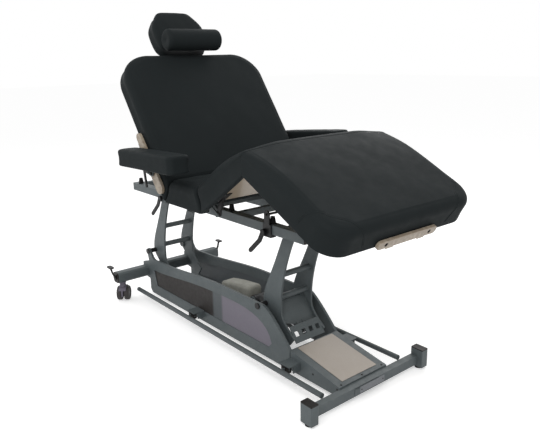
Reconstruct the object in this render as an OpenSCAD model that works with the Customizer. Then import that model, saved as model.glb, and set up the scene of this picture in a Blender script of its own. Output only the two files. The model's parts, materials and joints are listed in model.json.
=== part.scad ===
// Electric-lift massage and spa table with a four-section top, shown in its seated pose.
// X runs along the table towards the foot end, Z is up, and the near side is -Y.
// The origin is on the floor under the middle of the overall length and width.

/* [Base] */
// Distance from the origin to the foot end of the base
foot_face_x = 732; // [700:1:760]
// Width of the base over the two corner posts
base_w = 675; // [600:1:740]
// Length of a corner post along the table
post_l = 59; // [50:1:70]
// Width of a corner post across the table
post_w = 37; // [30:1:45]
// Height of a corner post
post_h = 77; // [70:1:90]
// Diameter of a levelling pad
pad_d = 34; // [26:1:36]
// Height of a levelling pad under its post
pad_h = 9; // [6:1:14]
// Diameter of the threaded stud of a levelling pad
pad_stud_d = 10; // [8:1:12]
// Depth of the foot crossbar along the table
crossbar_l = 32; // [26:1:40]
// Height of the foot crossbar
crossbar_h = 38; // [32:1:42]
// Height of the underside of the foot crossbar
crossbar_z = 20; // [15:1:26]
// Wall of the steel tubes
tube_wall = 3; // [2:0.5:4]
// Thickness of the plastic end caps
cap_t = 4; // [3:0.5:6]
// Depth that an end cap reaches into its tube
cap_plug = 12; // [8:1:20]
// Width of the blank cover plate on the foot crossbar
blank_w = 142; // [100:1:180]
// Offset of the blank cover plate from the middle
blank_y = -16; // [-20:1:40]
// Height of the blank cover plate
blank_h = 26; // [18:1:30]
// Thickness of the blank cover plate
blank_t = 2; // [1:0.5:3]

/* [Tray] */
// Distance from the foot end of the base to the head end of the tray
tray_head = 339; // [320:1:345]
// Height of the tray top at its head end
tray_head_z = 114; // [105:1:120]
// Height of the tray top at its foot end
tray_foot_z = 64; // [60:1:80]
// Width of the tray
tray_w = 274; // [250:1:280]
// Sheet thickness of the tray
sheet_t = 3; // [2:0.5:4]
// Length of the cover plate on the tray
cover_l = 258; // [220:1:265]
// Width of the cover plate on the tray
cover_w = 200; // [160:1:220]
// Thickness of the cover plate on the tray
cover_t = 2; // [1:0.5:3]
// Width of the ledge that carries the cover plate
cover_ledge = 14; // [8:1:20]

/* [Side plates] */
// Distance between the outer faces of the side plates
plates_w = 280; // [270:1:300]
// Thickness of a side plate
plate_t = 12; // [8:1:14]
// Height of the underside of the side plates
plate_z = 22; // [18:1:30]
// Height of the upper edge of the side plates over the foot pivot
plate_top = 260; // [250:1:270]
// Height of the dip in the upper edge near the head end
plate_dip = 227; // [215:1:235]
// Radius of the ear that carries the head pivot
ear_r = 16; // [14:1:20]
// Depth of the panel in its window below the outer face
panel_set = 3; // [2:0.5:4]
// Thickness of the window panel
panel_t = 3; // [2:0.5:4]

/* [Head crossbar and casters] */
// Distance from the foot end of the base to the head crossbar
head_bar = 1555; // [1540:1:1570]
// Height of the middle of the head crossbar
head_bar_z = 142; // [138:1:146]
// Size of the eight-sided head crossbar across its flats
head_bar_d = 56; // [48:1:60]
// Length of the head crossbar
head_bar_w = 650; // [600:1:700]
// Distance of a caster from the end of the head crossbar
caster_in = 30; // [28:1:40]
// Diameter of a caster wheel
wheel_d = 78; // [70:1:80]
// Width of one wheel of a twin caster
wheel_w = 26; // [20:1:30]
// Gap between the two wheels of a caster
wheel_gap = 14; // [12:1:18]
// Distance that the wheels trail behind the caster stem
trail = 18; // [12:1:24]
// Diameter of the caster stem
stem_d = 14; // [10:1:16]
// Direction of the near caster
caster_turn_near = -40; // [-180:1:180]
// Direction of the far caster
caster_turn_far = 15; // [-180:1:180]
// Rise of the brake pedals over the crossbar axis
pedal_rise = 62; // [50:1:80]
// Reach of the brake pedals beyond the crossbar ends
pedal_reach = 34; // [25:1:50]
// Length of the oval brake paddle
paddle_l = 52; // [40:1:60]
// Width of the oval brake paddle
paddle_w = 26; // [20:1:32]

/* [Control bars] */
// Distance between the two control bars
control_w = 444; // [430:1:470]
// Diameter of a control bar
control_d = 22; // [18:1:26]
// Height of the control bars
control_z = 62; // [55:1:70]
// Length of a control bar
control_l = 1444; // [1300:1:1445]
// Distance from the foot end of the base to a control bar
control_foot = 64; // [62:1:80]
// Places of the two bar brackets from the foot end of the base
bracket_places = [306, 1010]; // [200:1:1200]
// Length of a bar bracket along the table
bracket_l = 62; // [40:1:80]
// Distance from a control bar to its pivot
control_arm = 34; // [28:1:40]

/* [Lift legs] */
// Distance between the two lower leg pivots
leg_pitch = 975; // [950:1:990]
// Distance from the foot end of the base to the foot leg pivot
foot_pivot = 546; // [540:1:552]
// Height of the foot leg pivot
foot_pivot_z = 246; // [240:1:248]
// Height of the head leg pivot
head_pivot_z = 260; // [255:1:264]
// Run of a leg from its lower pivot to its upper pivot at rest
leg_run = 163; // [155:1:170]
// Rise of a leg from its lower pivot to its upper pivot at rest
leg_rise = 358; // [350:1:362]
// Distance between the outer faces of the leg plates
leg_w = 184; // [170:1:190]
// Thickness of a leg plate
leg_t = 9; // [6:1:10]
// Width of a leg plate near its top
leg_top_w = 58; // [50:1:62]
// Diameter of the rungs between the leg plates
rung_d = 26; // [20:1:30]
// Radius of the lower pivot pins
pin_r = 10; // [8:0.5:12]
// Radius of the upper pivot shafts
top_pin_r = 9; // [7:0.5:10]
// Side of a square hole in the lower cross plate
square_hole = 22; // [16:1:26]

/* [Actuator] */
// Distance from the foot leg pivot to either end of the actuator
crank_r = 175; // [170:1:180]
// Angle of the actuator trunnion round the foot leg pivot, from the head direction downwards
trunnion_angle = 19.4; // [18:0.1:21]
// Angle of the crank round the foot leg pivot, from the foot direction downwards
crank_angle = 38; // [37:0.1:40]
// Diameter of the outer tube of the actuator
ram_tube_d = 50; // [44:1:54]
// Diameter of the rod of the actuator
ram_rod_d = 28; // [20:1:30]
// Length of the motor housing
motor_l = 236; // [220:1:290]
// Width of the motor housing
motor_w = 84; // [70:1:96]

/* [Upper frame] */
// Distance between the outer faces of the rails
rails_w = 306; // [300:1:320]
// Width of a rail
rail_w = 40; // [36:1:42]
// Height of a rail
rail_h = 39; // [36:1:42]
// Height of the top of the rails at rest
rail_top = 637; // [636:1:640]
// Length of the rails
rail_l = 1372; // [1340:1:1376]
// Distance from the foot end of the base to the foot end of the rails
rail_foot = 236; // [232:1:250]
// Side of the square cross members
cross_d = 28; // [24:1:30]
// Places of the cross members from the foot end of the base
cross_places = [300, 700, 1590]; // [280:1:1595]
// Places of the rubber bumpers from the foot end of the base
bumper_places = [441, 722, 1556]; // [400:1:1570]
// Height of a rubber bumper
bumper_h = 30; // [20:1:31]
// Diameter of a rubber bumper at its base
bumper_d = 26; // [20:1:28]

/* [Top sections] */
// Half of the width of the upholstered sections
top_half_w = 384; // [370:1:400]
// Height of the underside of the seat at rest
seat_z = 692; // [690:1:694]
// Drop of the fold axes below the section boards
hinge_drop = 14; // [13:1:16]
// Distance from the foot end of the base to the back fold axis
back_axis = 876; // [870:1:880]
// Distance from the foot end of the base to the thigh fold axis
thigh_axis = 580; // [575:1:585]
// Raise of the back section at rest
back_raise = 54.7; // [52:0.1:58]
// Raise of the thigh section at rest
thigh_raise = 34.3; // [32:0.1:36]
// Droop of the leg section at rest
leg_droop = 27.5; // [25:0.1:30]
// Raise of the back beyond rest that its cut leaves free
back_spare = 6; // [4:0.5:8]
// Raise of the thigh beyond rest that its cut leaves free
thigh_spare = 8; // [6:0.5:10]
// Thickness of the seat with its board
seat_pad_t = 108; // [90:1:120]
// Thickness of the back with its board
back_pad_t = 88; // [74:1:100]
// Height of the knee fold over the underside of the thigh and leg sections
leg_pad_t = 58; // [54:1:66]
// Rise of the thigh and leg cushions over the knee fold
knee_rise = 52; // [40:1:60]
// Depth of the side skirts that hang below the boards of the seat and thigh
skirt_h = 28; // [20:1:34]
// Length of the back section
back_l = 716; // [690:1:730]
// Length of the thigh section along its upper face
thigh_l = 378; // [360:1:390]
// Length of the leg section along its upper face
leg_l = 502; // [480:1:520]
// Corner radius of the back section at its head end
back_corner = 140; // [110:1:150]
// Corner radius of the leg section at its foot end
leg_corner = 95; // [80:1:110]
// Crown of a cushion over its edges
crown_h = 10; // [6:1:16]
// Thickness of a section board
board_t = 15; // [12:1:18]
// Width of the upholstered lip beside a board
board_lip = 12; // [8:1:18]
// Distance between the holes of the foot accessory bar
outlet_pitch = 234; // [200:1:250]
// Radius of the holes of the foot accessory bar
outlet_r = 6; // [5:0.5:8]
// Length of the foot accessory bar
outlet_bar_l = 318; // [290:1:340]
// Height of the foot accessory bar
outlet_bar_h = 34; // [28:1:38]
// Thickness of the foot accessory bar
outlet_bar_t = 14; // [10:1:18]

/* [Supports and levers] */
// Length of the back prop, and distance of its upper pivot from the fold axis
back_prop_l = 350; // [340:1:352]
// Length of the thigh prop, and distance of its upper pivot from the fold axis
thigh_prop_l = 80; // [74:0.5:84]
// Width of a prop arm
prop_w = 16; // [12:1:16]
// Thickness of a prop arm
prop_t = 6; // [5:1:8]
// Length of the handle of a clamp lever
lever_l = 128; // [90:1:140]
// Diameter of the hub of a clamp lever
lever_hub_d = 26; // [20:1:28]

/* [Headrest] */
// Length of the headrest pad
headrest_l = 222; // [200:1:240]
// Half of the width of the headrest pad
headrest_half_w = 148; // [130:1:160]
// Thickness of the headrest pad
headrest_t = 78; // [60:1:85]
// Distance of the headrest pad from the end of the back section
headrest_gap = 20; // [16:1:29]
// Diameter of the neck bolster
bolster_d = 100; // [90:1:110]
// Length of the neck bolster
bolster_l = 316; // [280:1:340]
// Distance between the two headrest rods
rod_pitch = 150; // [120:1:180]
// Diameter of a headrest rod
rod_d = 12; // [10:1:14]

/* [Armrests] */
// Length of an armrest pad
armrest_l = 443; // [400:1:480]
// Width of an armrest pad
armrest_w = 100; // [90:1:120]
// Thickness of an armrest pad
armrest_t = 68; // [56:1:76]
// Rise of an armrest towards its foot end
armrest_pitch = 4.4; // [0:0.5:8]
// Reach of an armrest behind its pivot
armrest_back = 117; // [100:1:140]
// Distance of the armrest pivots from the back fold axis
armrest_u = 146; // [140:1:180]
// Length of the wooden slat on each side of the back
slat_l = 298; // [280:1:310]
// Width of the wooden slat
slat_w = 36; // [30:1:40]
// Thickness of the wooden slat
slat_t = 12; // [10:1:14]

/* [Hidden] */
$fn = 48;

// Overrun of every cut past the faces that it opens
overrun = 1;
// Radial clearance of a turning pin in its bore
run_clear = 0.05;
// Clearance between neighbours that move past each other
side_clear = 0.5;
// Gap left between two cushions that meet at a fold
fold_gap = 0.5;
// Clearance of the upper foot leg shaft, the pivot that is left open
open_clear = 1;

frame_grey = [0.33, 0.36, 0.37];
black = [0.07, 0.07, 0.07];
vinyl = [0.16, 0.18, 0.18];
maple = [0.72, 0.63, 0.5];
tan_plate = [0.64, 0.6, 0.54];
motor_beige = [0.62, 0.62, 0.58];

// Moves what is measured from the foot end of the base into the part's own frame
module from_foot() {
    translate([foot_face_x, 0, 0]) children();
}

// A solid with its outline in X and Z that reaches from y0 to y1
module side_cut(y0, y1) {
    translate([0, y1, 0]) rotate([90, 0, 0]) linear_extrude(y1 - y0) children();
}

// The same thing on both sides of the table
module both_sides() {
    children();
    mirror([0, 1, 0]) children();
}

// A box given by its lower and upper corners
module span(low, high) {
    translate(low) cube(high - low);
}

// A cylinder along Y between two places
module shaft(x, z, y0, y1, r) {
    translate([x, y0, z]) rotate([-90, 0, 0]) cylinder(h = y1 - y0, r = r);
}

// A straight bar with round ends, in the plane of the drawing
module round_bar(p, q, w) {
    run = q - p;
    translate(p) rotate(atan2(run.y, run.x)) {
        translate([0, -w / 2]) square([norm(run), w]);
        circle(d = w);
        translate([norm(run), 0]) circle(d = w);
    }
}

// A rectangle with four round corners, in the plane of the drawing
module round_rect(low, high, r) {
    translate([low.x + r, low.y]) square([high.x - low.x - 2 * r, high.y - low.y]);
    translate([low.x, low.y + r]) square([high.x - low.x, high.y - low.y - 2 * r]);
    for (x = [low.x + r, high.x - r], y = [low.y + r, high.y - r]) translate([x, y]) circle(r = r);
}

// Points of a smooth curve pulled towards two handles
function curve(a, b, c, d, n) =
    [for (i = [0:n]) let (t = i / n, s = 1 - t)
        s * s * s * a + 3 * s * s * t * b + 3 * s * t * t * c + t * t * t * d];

// Points of an arc
function arc(centre, r, from, to, n) =
    [for (i = [0:n]) let (a = from + (to - from) * i / n) centre + r * [cos(a), sin(a)]];

// Radius of the brake shaft that runs through the head crossbar
brake_shaft_r = 6;

// Places that several pieces share, measured from the foot end of the base
head_pivot = [-foot_pivot - leg_pitch, head_pivot_z];
foot_axis = [-foot_pivot, foot_pivot_z];
leg_vector = [leg_run, leg_rise];
plate_out = plates_w / 2;
plate_in = plate_out - plate_t;
leg_out = leg_w / 2;
leg_in = leg_out - leg_t;
rail_out = rails_w / 2;
rail_in = rail_out - rail_w;
rail_mid = rail_out - rail_w / 2;
rail_z = rail_top - rail_h;
axis_z = seat_z - hinge_drop;
caster_y = head_bar_w / 2 - caster_in;
head_bar_half = head_bar_d / 2;
// Share of the half width that each corner of the head crossbar is cut back
head_bar_chamfer = 0.3;

// Corner posts, crossbar and the blank plate at the foot end
post_y = base_w / 2 - post_w;
post_round = 3;
crossbar_foot = crossbar_l - post_l + post_round;
module foot_crossbar() {
    post_top = pad_h + post_h;
    color(frame_grey) from_foot() {
        both_sides() difference() {
            translate([0, 0, pad_h]) linear_extrude(post_h)
                round_rect([-post_l, post_y], [0, base_w / 2], post_round);
            span([-post_l + tube_wall, post_y + tube_wall, pad_h + tube_wall],
                 [-tube_wall, base_w / 2 - tube_wall, post_top + overrun]);
            translate([-post_l / 2, post_y + post_w / 2, pad_h - overrun])
                cylinder(h = tube_wall + 2 * overrun, d = pad_stud_d);
        }
        difference() {
            span([-post_l + post_round, -post_y - tube_wall / 2, crossbar_z],
                 [crossbar_foot, post_y + tube_wall / 2, crossbar_z + crossbar_h]);
            span([-post_l + post_round + tube_wall, -post_y - overrun, crossbar_z + tube_wall],
                 [crossbar_foot - tube_wall, post_y + overrun, crossbar_z + crossbar_h - tube_wall]);
        }
        blank_low = crossbar_z + (crossbar_h - blank_h) / 2;
        span([crossbar_foot, blank_y - blank_w / 2, blank_low],
             [crossbar_foot + blank_t, blank_y + blank_w / 2, blank_low + blank_h]);
    }
}

// Plastic caps in the tops of the posts and in the ends of the head crossbar
module base_end_caps() {
    post_top = pad_h + post_h;
    color(black) from_foot() both_sides() {
        translate([0, 0, post_top]) linear_extrude(cap_t)
            round_rect([-post_l, post_y], [0, base_w / 2], post_round);
        span([-post_l + tube_wall, post_y + tube_wall, post_top - cap_plug],
             [-tube_wall, base_w / 2 - tube_wall, post_top]);
        difference() {
            union() {
                head_bar_prism(head_bar_w / 2, head_bar_w / 2 + cap_t, head_bar_half);
                head_bar_prism(head_bar_w / 2 - cap_plug, head_bar_w / 2, head_bar_half - tube_wall);
            }
            shaft(-head_bar, head_bar_z, head_bar_w / 2 - cap_plug - overrun,
                  head_bar_w / 2 + cap_t + overrun, brake_shaft_r + run_clear);
        }
    }
}

// Round pads on studs screwed into the posts
module levelling_feet() {
    color(black) from_foot() both_sides() translate([-post_l / 2, post_y + post_w / 2, 0]) {
        cylinder(h = pad_h / 2, d = pad_d);
        translate([0, 0, pad_h / 2]) cylinder(h = pad_h / 2, d1 = pad_d, d2 = pad_d * 0.6);
        cylinder(h = pad_h + post_h / 2, d = pad_stud_d);
    }
}

// Folded tray between the side plates and the foot crossbar, open underneath
tray_foot = post_l - post_round;
tray_slope = atan2(tray_head_z - tray_foot_z, tray_head - tray_foot);
module base_tray() {
    color(frame_grey) from_foot() difference() {
        side_cut(-tray_w / 2, tray_w / 2)
            polygon([[-tray_head, plate_z], [-tray_foot, plate_z], [-tray_foot, tray_foot_z],
                     [-tray_head, tray_head_z]]);
        side_cut(-tray_w / 2 + sheet_t, tray_w / 2 - sheet_t)
            polygon([[-tray_head + sheet_t, plate_z - overrun], [-tray_foot - sheet_t, plate_z - overrun],
                     [-tray_foot - sheet_t, tray_foot_z - sheet_t],
                     [-tray_head + sheet_t, tray_head_z - sheet_t]]);
        on_tray() span([cover_ledge, -cover_w / 2 + cover_ledge, -sheet_t - 2 * overrun],
                       [cover_l - cover_ledge, cover_w / 2 - cover_ledge, overrun]);
    }
}

// The sloping top of the tray, with X along the slope from the head end of the cover plate
cover_in = 7;
module on_tray() {
    translate([-tray_head, 0, tray_head_z]) rotate([0, tray_slope, 0]) translate([cover_in, 0, 0]) children();
}

// Plain plate over the opening of the tray
cover_round = 3;
module tray_cover() {
    color(tan_plate) from_foot() on_tray() linear_extrude(cover_t)
        round_rect([0, -cover_w / 2], [cover_l, cover_w / 2], cover_round);
}

// Outline of a side plate: an ear at the head pivot, a dip, a long crown and a slope to the tray
plate_chamfer = 20;
ear_waist = 34;
lug_over = 36;
lug_reach = head_bar - foot_pivot - leg_pitch + lug_over;
lug_rise = 42;
function plate_outline() =
    let (ear = head_pivot,
         ear_foot = ear + [ear_waist, -ear_waist / 2],
         dip = [ear.x + 0.2 * leg_pitch, plate_dip],
         crown = [ear.x + 0.7 * leg_pitch, plate_top],
         shoulder = foot_axis + [ear_waist, plate_top - foot_pivot_z])
    concat(
        [[-tray_head, plate_z], [ear.x + plate_chamfer, plate_z], [ear.x, plate_z + plate_chamfer],
         [ear.x, head_bar_z - lug_rise], [ear.x - lug_reach, head_bar_z - lug_rise * 3 / 4],
         [ear.x - lug_reach, head_bar_z + lug_rise], [ear.x, head_bar_z + lug_rise * 3 / 2]],
        arc(ear, ear_r, 180, 20, 12),
        curve(ear_foot, ear_foot + [ear_waist / 2, -ear_waist], dip - [3 * ear_waist, 0], dip, 8),
        curve(dip, dip + [3 * ear_waist, 0], crown - [4 * ear_waist, 0], crown, 8),
        curve(shoulder, shoulder + [ear_waist, 0], [-tray_head, tray_head_z] + [-ear_waist, ear_waist * 1.1],
              [-tray_head, tray_head_z], 6));

// Outline of the long window, which ends in a leaf shape towards the foot end
window_low = 54;
window_head_h = 86;
window_head = 52;
window_tip = 90;
window_tip_z = 78;
window_rise = 190;
function window_outline() =
    let (low_z = plate_z + window_low,
         head_x = head_pivot.x + window_head,
         head_top = [head_x, low_z + window_head_h],
         middle = [foot_axis.x - window_rise, plate_z + window_rise],
         tip = [foot_axis.x + window_tip, plate_z + window_tip_z])
    concat(
        [[head_x + window_head / 2, low_z]],
        curve(head_top, head_top + [window_rise, 0], middle - [2 * window_rise, 0], middle, 8),
        curve(middle, middle + [window_rise * 3 / 4, 0], tip + [-window_tip / 4, window_tip], tip, 8),
        [[tip.x - window_tip / 4, low_z]]);

module side_plate() {
    color(frame_grey) from_foot() difference() {
        side_cut(plate_in, plate_out) polygon(plate_outline());
        side_cut(plate_in - overrun, plate_out + overrun) polygon(window_outline());
        head_bar_prism(plate_in - overrun, plate_out + overrun, head_bar_half);
        for (p = [head_pivot, foot_axis]) shaft(p.x, p.y, plate_in - overrun, plate_out + overrun, pin_r);
    }
}
module side_plate_near() {
    mirror([0, 1, 0]) side_plate();
}
module side_plate_far() {
    side_plate();
}

// Blank panels set into the windows
module window_panels() {
    color([0.42, 0.39, 0.44]) from_foot() both_sides()
        side_cut(plate_out - panel_set - panel_t, plate_out - panel_set) polygon(window_outline());
}

// Tubes between the side plates, and the trunnion bracket of the actuator
trunnion = foot_axis - crank_r * [cos(trunnion_angle), sin(trunnion_angle)];
crank = foot_axis + crank_r * [cos(crank_angle), -sin(crank_angle)];
low_tube_d = 36;
trunnion_r = 10;
trunnion_in = ram_tube_d / 2 + 9;
trunnion_bracket_w = 44;
module base_cross_members() {
    color(frame_grey) from_foot() {
        for (x = [head_pivot.x + 4 * low_tube_d, trunnion.x]) difference() {
            span([x - low_tube_d / 2, -plate_in, plate_z], [x + low_tube_d / 2, plate_in, plate_z + low_tube_d]);
            span([x - low_tube_d / 2 + tube_wall, -plate_in - overrun, plate_z + tube_wall],
                 [x + low_tube_d / 2 - tube_wall, plate_in + overrun, plate_z + low_tube_d - tube_wall]);
        }
        both_sides() difference() {
            side_cut(trunnion_in + side_clear, trunnion_in + side_clear + leg_t) {
                translate([trunnion.x - trunnion_bracket_w / 2, plate_z + low_tube_d])
                    square([trunnion_bracket_w, trunnion.y - plate_z - low_tube_d]);
                translate(trunnion) circle(d = trunnion_bracket_w);
            }
            shaft(trunnion.x, trunnion.y, trunnion_in - overrun, trunnion_in + 2 * leg_t, trunnion_r + run_clear);
        }
    }
}

// An eight-sided prism on the axis of the head crossbar
module head_bar_prism(y0, y1, half) {
    cut = half * head_bar_chamfer;
    side_cut(y0, y1) translate([-head_bar, head_bar_z])
        polygon([[half, cut - half], [half, half - cut], [half - cut, half], [cut - half, half],
                 [-half, half - cut], [-half, cut - half], [cut - half, -half], [half - cut, -half]]);
}

// Eight-sided tube with a socket for each caster stem
socket_d = 24;
socket_h = 18;
module head_crossbar() {
    color(frame_grey) from_foot() difference() {
        union() {
            difference() {
                head_bar_prism(-head_bar_w / 2, head_bar_w / 2, head_bar_half);
                head_bar_prism(-head_bar_w / 2 - overrun, head_bar_w / 2 + overrun,
                               head_bar_half - tube_wall);
            }
            both_sides() translate([-head_bar, caster_y, head_bar_z - head_bar_d / 2])
                cylinder(h = socket_h, d = socket_d);
        }
        both_sides() translate([-head_bar, caster_y, head_bar_z - head_bar_d / 2 - overrun])
            cylinder(h = socket_h + 2 * overrun, d = stem_d + 2 * run_clear);
    }
}

// Black pins that carry the two legs between the side plates
pin_head_r = 14;
pin_head_t = 6;
module base_pivot_pins() {
    color(black) from_foot() both_sides() for (p = [head_pivot, foot_axis]) {
        shaft(p.x, p.y, leg_in - leg_t, plate_out, pin_r);
        shaft(p.x, p.y, leg_out + side_clear, plate_in, pin_r + 3 * tube_wall / 4);
        shaft(p.x, p.y, plate_out, plate_out + pin_head_t, pin_head_r);
    }
}

// Steel brackets from the side plates out to the control bars
bracket_t = 5;
block_l = 38;
block_h = 30;
block_w = 22;
control_pivot_y = control_w / 2 - control_arm;
block_out = control_pivot_y + block_w / 2;
bracket_z = control_z + block_h / 2;
module bar_brackets() {
    color(frame_grey) from_foot() both_sides() for (place = bracket_places) translate([-place, 0, 0]) {
        base = place < tray_head ? tray_w / 2 : plate_out;
        span([-bracket_l / 2, base, bracket_z], [bracket_l / 2, block_out, bracket_z + bracket_t]);
        span([-bracket_l / 2, base, control_z - block_h / 2], [-bracket_l / 2 + bracket_t, block_out - block_w, bracket_z]);
        span([bracket_l / 2 - bracket_t, base, control_z - block_h / 2], [bracket_l / 2, block_out - block_w, bracket_z]);
    }
}

// Black plastic blocks in which the control bars pivot
arm_t = 8;
control_pin_r = 4;
module bar_pivot_blocks() {
    color(black) from_foot() both_sides() for (place = bracket_places) translate([-place, 0, 0]) difference() {
        span([-block_l / 2, block_out - block_w, control_z - block_h / 2], [block_l / 2, block_out, bracket_z]);
        span([-arm_t / 2 - side_clear, block_out - block_w - overrun, control_z - block_h / 2 - overrun],
             [arm_t / 2 + side_clear, block_out + overrun, bracket_z - bracket_t]);
        translate([-block_l / 2 - overrun, control_pivot_y, control_z]) rotate([0, 90, 0])
            cylinder(h = block_l + 2 * overrun, r = control_pin_r + run_clear);
    }
}

// Round control bar with two arms that pivot in the blocks
bar_end_t = 5;
module control_bar() {
    bar_y = control_w / 2;
    color(frame_grey) from_foot() {
        translate([-control_foot - control_l, bar_y, control_z]) rotate([0, 90, 0]) difference() {
            cylinder(h = control_l, d = control_d);
            translate([0, 0, bar_end_t]) cylinder(h = control_l - 2 * bar_end_t, d = control_d - 2 * tube_wall);
        }
        for (place = bracket_places) translate([-place, 0, control_z]) {
            rotate([90, 0, 90]) translate([0, 0, -arm_t / 2]) linear_extrude(arm_t) {
                translate([control_pivot_y, 0]) circle(d = block_w * 2 / 3);
                translate([control_pivot_y, -block_w / 4])
                    square([control_arm - control_d / 2 + tube_wall / 2, block_w / 2]);
            }
            translate([-block_l / 2, control_pivot_y, 0]) rotate([0, 90, 0]) cylinder(h = block_l, r = control_pin_r);
        }
    }
}
module control_bar_near() {
    mirror([0, 1, 0]) control_bar();
}
module control_bar_far() {
    control_bar();
}

// Caster fork: a stem, a swivel plate, a web between the wheels and a hood over them
stem_l = 22;
swivel_t = 5;
hood_t = 3;
wheel_z = wheel_d / 2;
axle_r = 5;
web_t = wheel_gap - 2 * hood_t;
module caster_place(turn, side) {
    from_foot() translate([-head_bar, side * caster_y, 0]) rotate(turn) children();
}
module caster_fork(turn, side) {
    swivel_z = head_bar_z - head_bar_d / 2 - side_clear;
    hood_r = wheel_z + 2 * hood_t;
    hood_half = (wheel_gap + wheel_w) / 2;
    color(frame_grey) caster_place(turn, side) {
        translate([0, 0, swivel_z - swivel_t]) cylinder(h = swivel_t, d = head_bar_d * 0.8);
        translate([0, 0, swivel_z - swivel_t]) cylinder(h = stem_l - swivel_t, d = stem_d);
        side_cut(-web_t / 2, web_t / 2) intersection() {
            translate([-trail, wheel_z]) circle(r = hood_r);
            translate([-trail - hood_r, wheel_z - 2 * axle_r]) square([2 * hood_r, swivel_z - wheel_z + 2 * axle_r]);
        }
        side_cut(-hood_half, hood_half) difference() {
            translate([-trail, wheel_z]) circle(r = hood_r);
            translate([-trail, wheel_z]) circle(r = wheel_z + hood_t);
            translate([-trail - 2 * hood_r, -hood_r]) square([4 * hood_r, hood_r + wheel_z + hood_r / 2]);
        }
        translate([-trail / 2, 0, wheel_z + hood_r - hood_t]) cylinder(h = swivel_z - wheel_z - hood_r + hood_t, d = head_bar_d * 0.6);
        shaft(-trail, wheel_z, -wheel_gap / 2 - wheel_w + hood_t, wheel_gap / 2 + wheel_w - hood_t, axle_r);
    }
}
module caster_fork_near() {
    caster_fork(caster_turn_near, -1);
}
module caster_fork_far() {
    caster_fork(caster_turn_far, 1);
}

// Pair of caster wheels with rounded treads and a recessed outer face
wheel_round = 6;
module caster_wheels(turn, side) {
    color([0.25, 0.24, 0.22]) caster_place(turn, side) both_sides()
        translate([-trail, wheel_gap / 2, wheel_z]) rotate([-90, 0, 0]) difference() {
            rotate_extrude() {
                square([wheel_z - wheel_round, wheel_w]);
                translate([0, wheel_round]) square([wheel_z, wheel_w - 2 * wheel_round]);
                for (y = [wheel_round, wheel_w - wheel_round])
                    translate([wheel_z - wheel_round, y]) circle(r = wheel_round);
            }
            translate([0, 0, wheel_w - hood_t]) cylinder(h = hood_t + overrun, r = wheel_z - 2 * wheel_round);
            translate([0, 0, -overrun]) cylinder(h = wheel_w + 2 * overrun, r = axle_r + run_clear);
        }
}
module caster_wheels_near() {
    caster_wheels(caster_turn_near, -1);
}
module caster_wheels_far() {
    caster_wheels(caster_turn_far, 1);
}

// Brake shaft through the head crossbar, with an arm and an oval paddle at each end
paddle_t = 6;
module brake_pedal_bar() {
    arm_y = head_bar_w / 2 + cap_t + side_clear;
    color(black) from_foot() {
        shaft(-head_bar, head_bar_z, -arm_y - arm_t, arm_y + arm_t, brake_shaft_r);
        both_sides() {
            shaft(-head_bar, head_bar_z, arm_y, arm_y + arm_t, 2 * brake_shaft_r);
            translate([-head_bar - arm_t / 2, 0, 0]) rotate([90, 0, 90]) linear_extrude(arm_t) {
                round_bar([arm_y + arm_t / 2, head_bar_z], [arm_y + pedal_reach / 2, head_bar_z + pedal_rise / 2], arm_t);
                round_bar([arm_y + pedal_reach / 2, head_bar_z + pedal_rise / 2],
                          [arm_y + pedal_reach * 3 / 4, head_bar_z + pedal_rise], arm_t);
            }
            translate([-head_bar, arm_y + pedal_reach * 3 / 4, head_bar_z + pedal_rise]) linear_extrude(paddle_t)
                round_bar([-(paddle_l - paddle_w) / 2, 0], [(paddle_l - paddle_w) / 2, 0], paddle_w);
        }
    }
}

// Outline of a leg plate about its lower pivot: a curved upper arm, a knee and a lower arm
knee_w = 98;
tip = [166, -129];
tip_w = 46;
function leg_outline() =
    let (top = leg_vector, half = leg_top_w / 2,
         lean = [leg_vector.y, -leg_vector.x] / norm(leg_vector),
         reach = leg_vector / norm(leg_vector),
         toe = tip / norm(tip), toe_side = [-toe.y, toe.x])
    concat(
        arc(top, half, atan2(-lean.y, -lean.x), atan2(-lean.y, -lean.x) - 180, 10),
        curve(top + half * lean - half * reach, top + half * lean - 4 * half * reach,
              [knee_w, knee_w * 1.2], [knee_w, knee_w / 4], 10),
        curve([knee_w, -knee_w / 6], [knee_w, -knee_w / 2], tip + tip_w / 2 * toe_side - tip_w * toe,
              tip + tip_w / 2 * toe_side, 6),
        [tip - tip_w / 2 * toe_side],
        curve(tip - tip_w / 2 * toe_side - tip_w * toe, [knee_w * 0.35, -knee_w * 0.62], [0, -knee_w * 0.4],
              [-knee_w * 0.17, -knee_w * 0.1], 6),
        curve([-knee_w * 0.19, 0], [-knee_w * 0.22, knee_w * 0.6], [knee_w * 0.1, knee_w],
              top - half * lean - 6 * half * reach, 8));

// Shares of the knee width and of the rise of a leg at which its rungs sit
rung_shares = [[0.87, 0.42], [0.7, 0.12]];
panel_back = 26;
panel_start = 60;
web_drop = 18;
web_plate_t = 5;
// One leg frame: two plates, rungs, hubs and its upper shaft
module leg_frame(origin) {
    color(frame_grey) from_foot() translate([origin.x, 0, origin.y]) difference() {
        union() {
            both_sides() {
                side_cut(leg_in, leg_out) polygon(leg_outline());
                shaft(0, 0, leg_in - leg_t, leg_in, 2 * pin_r);
                shaft(leg_vector.x, leg_vector.y, leg_out, rail_out - tube_wall - side_clear, top_pin_r);
            }
            for (share = rung_shares)
                shaft(knee_w * share.x, leg_rise * share.y, -leg_in, leg_in, rung_d / 2);
            shaft(leg_vector.x, leg_vector.y, -leg_in, leg_in, top_pin_r + tube_wall);
        }
        both_sides() shaft(0, 0, leg_in - leg_t - overrun, leg_out + overrun, pin_r + run_clear);
    }
}

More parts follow.
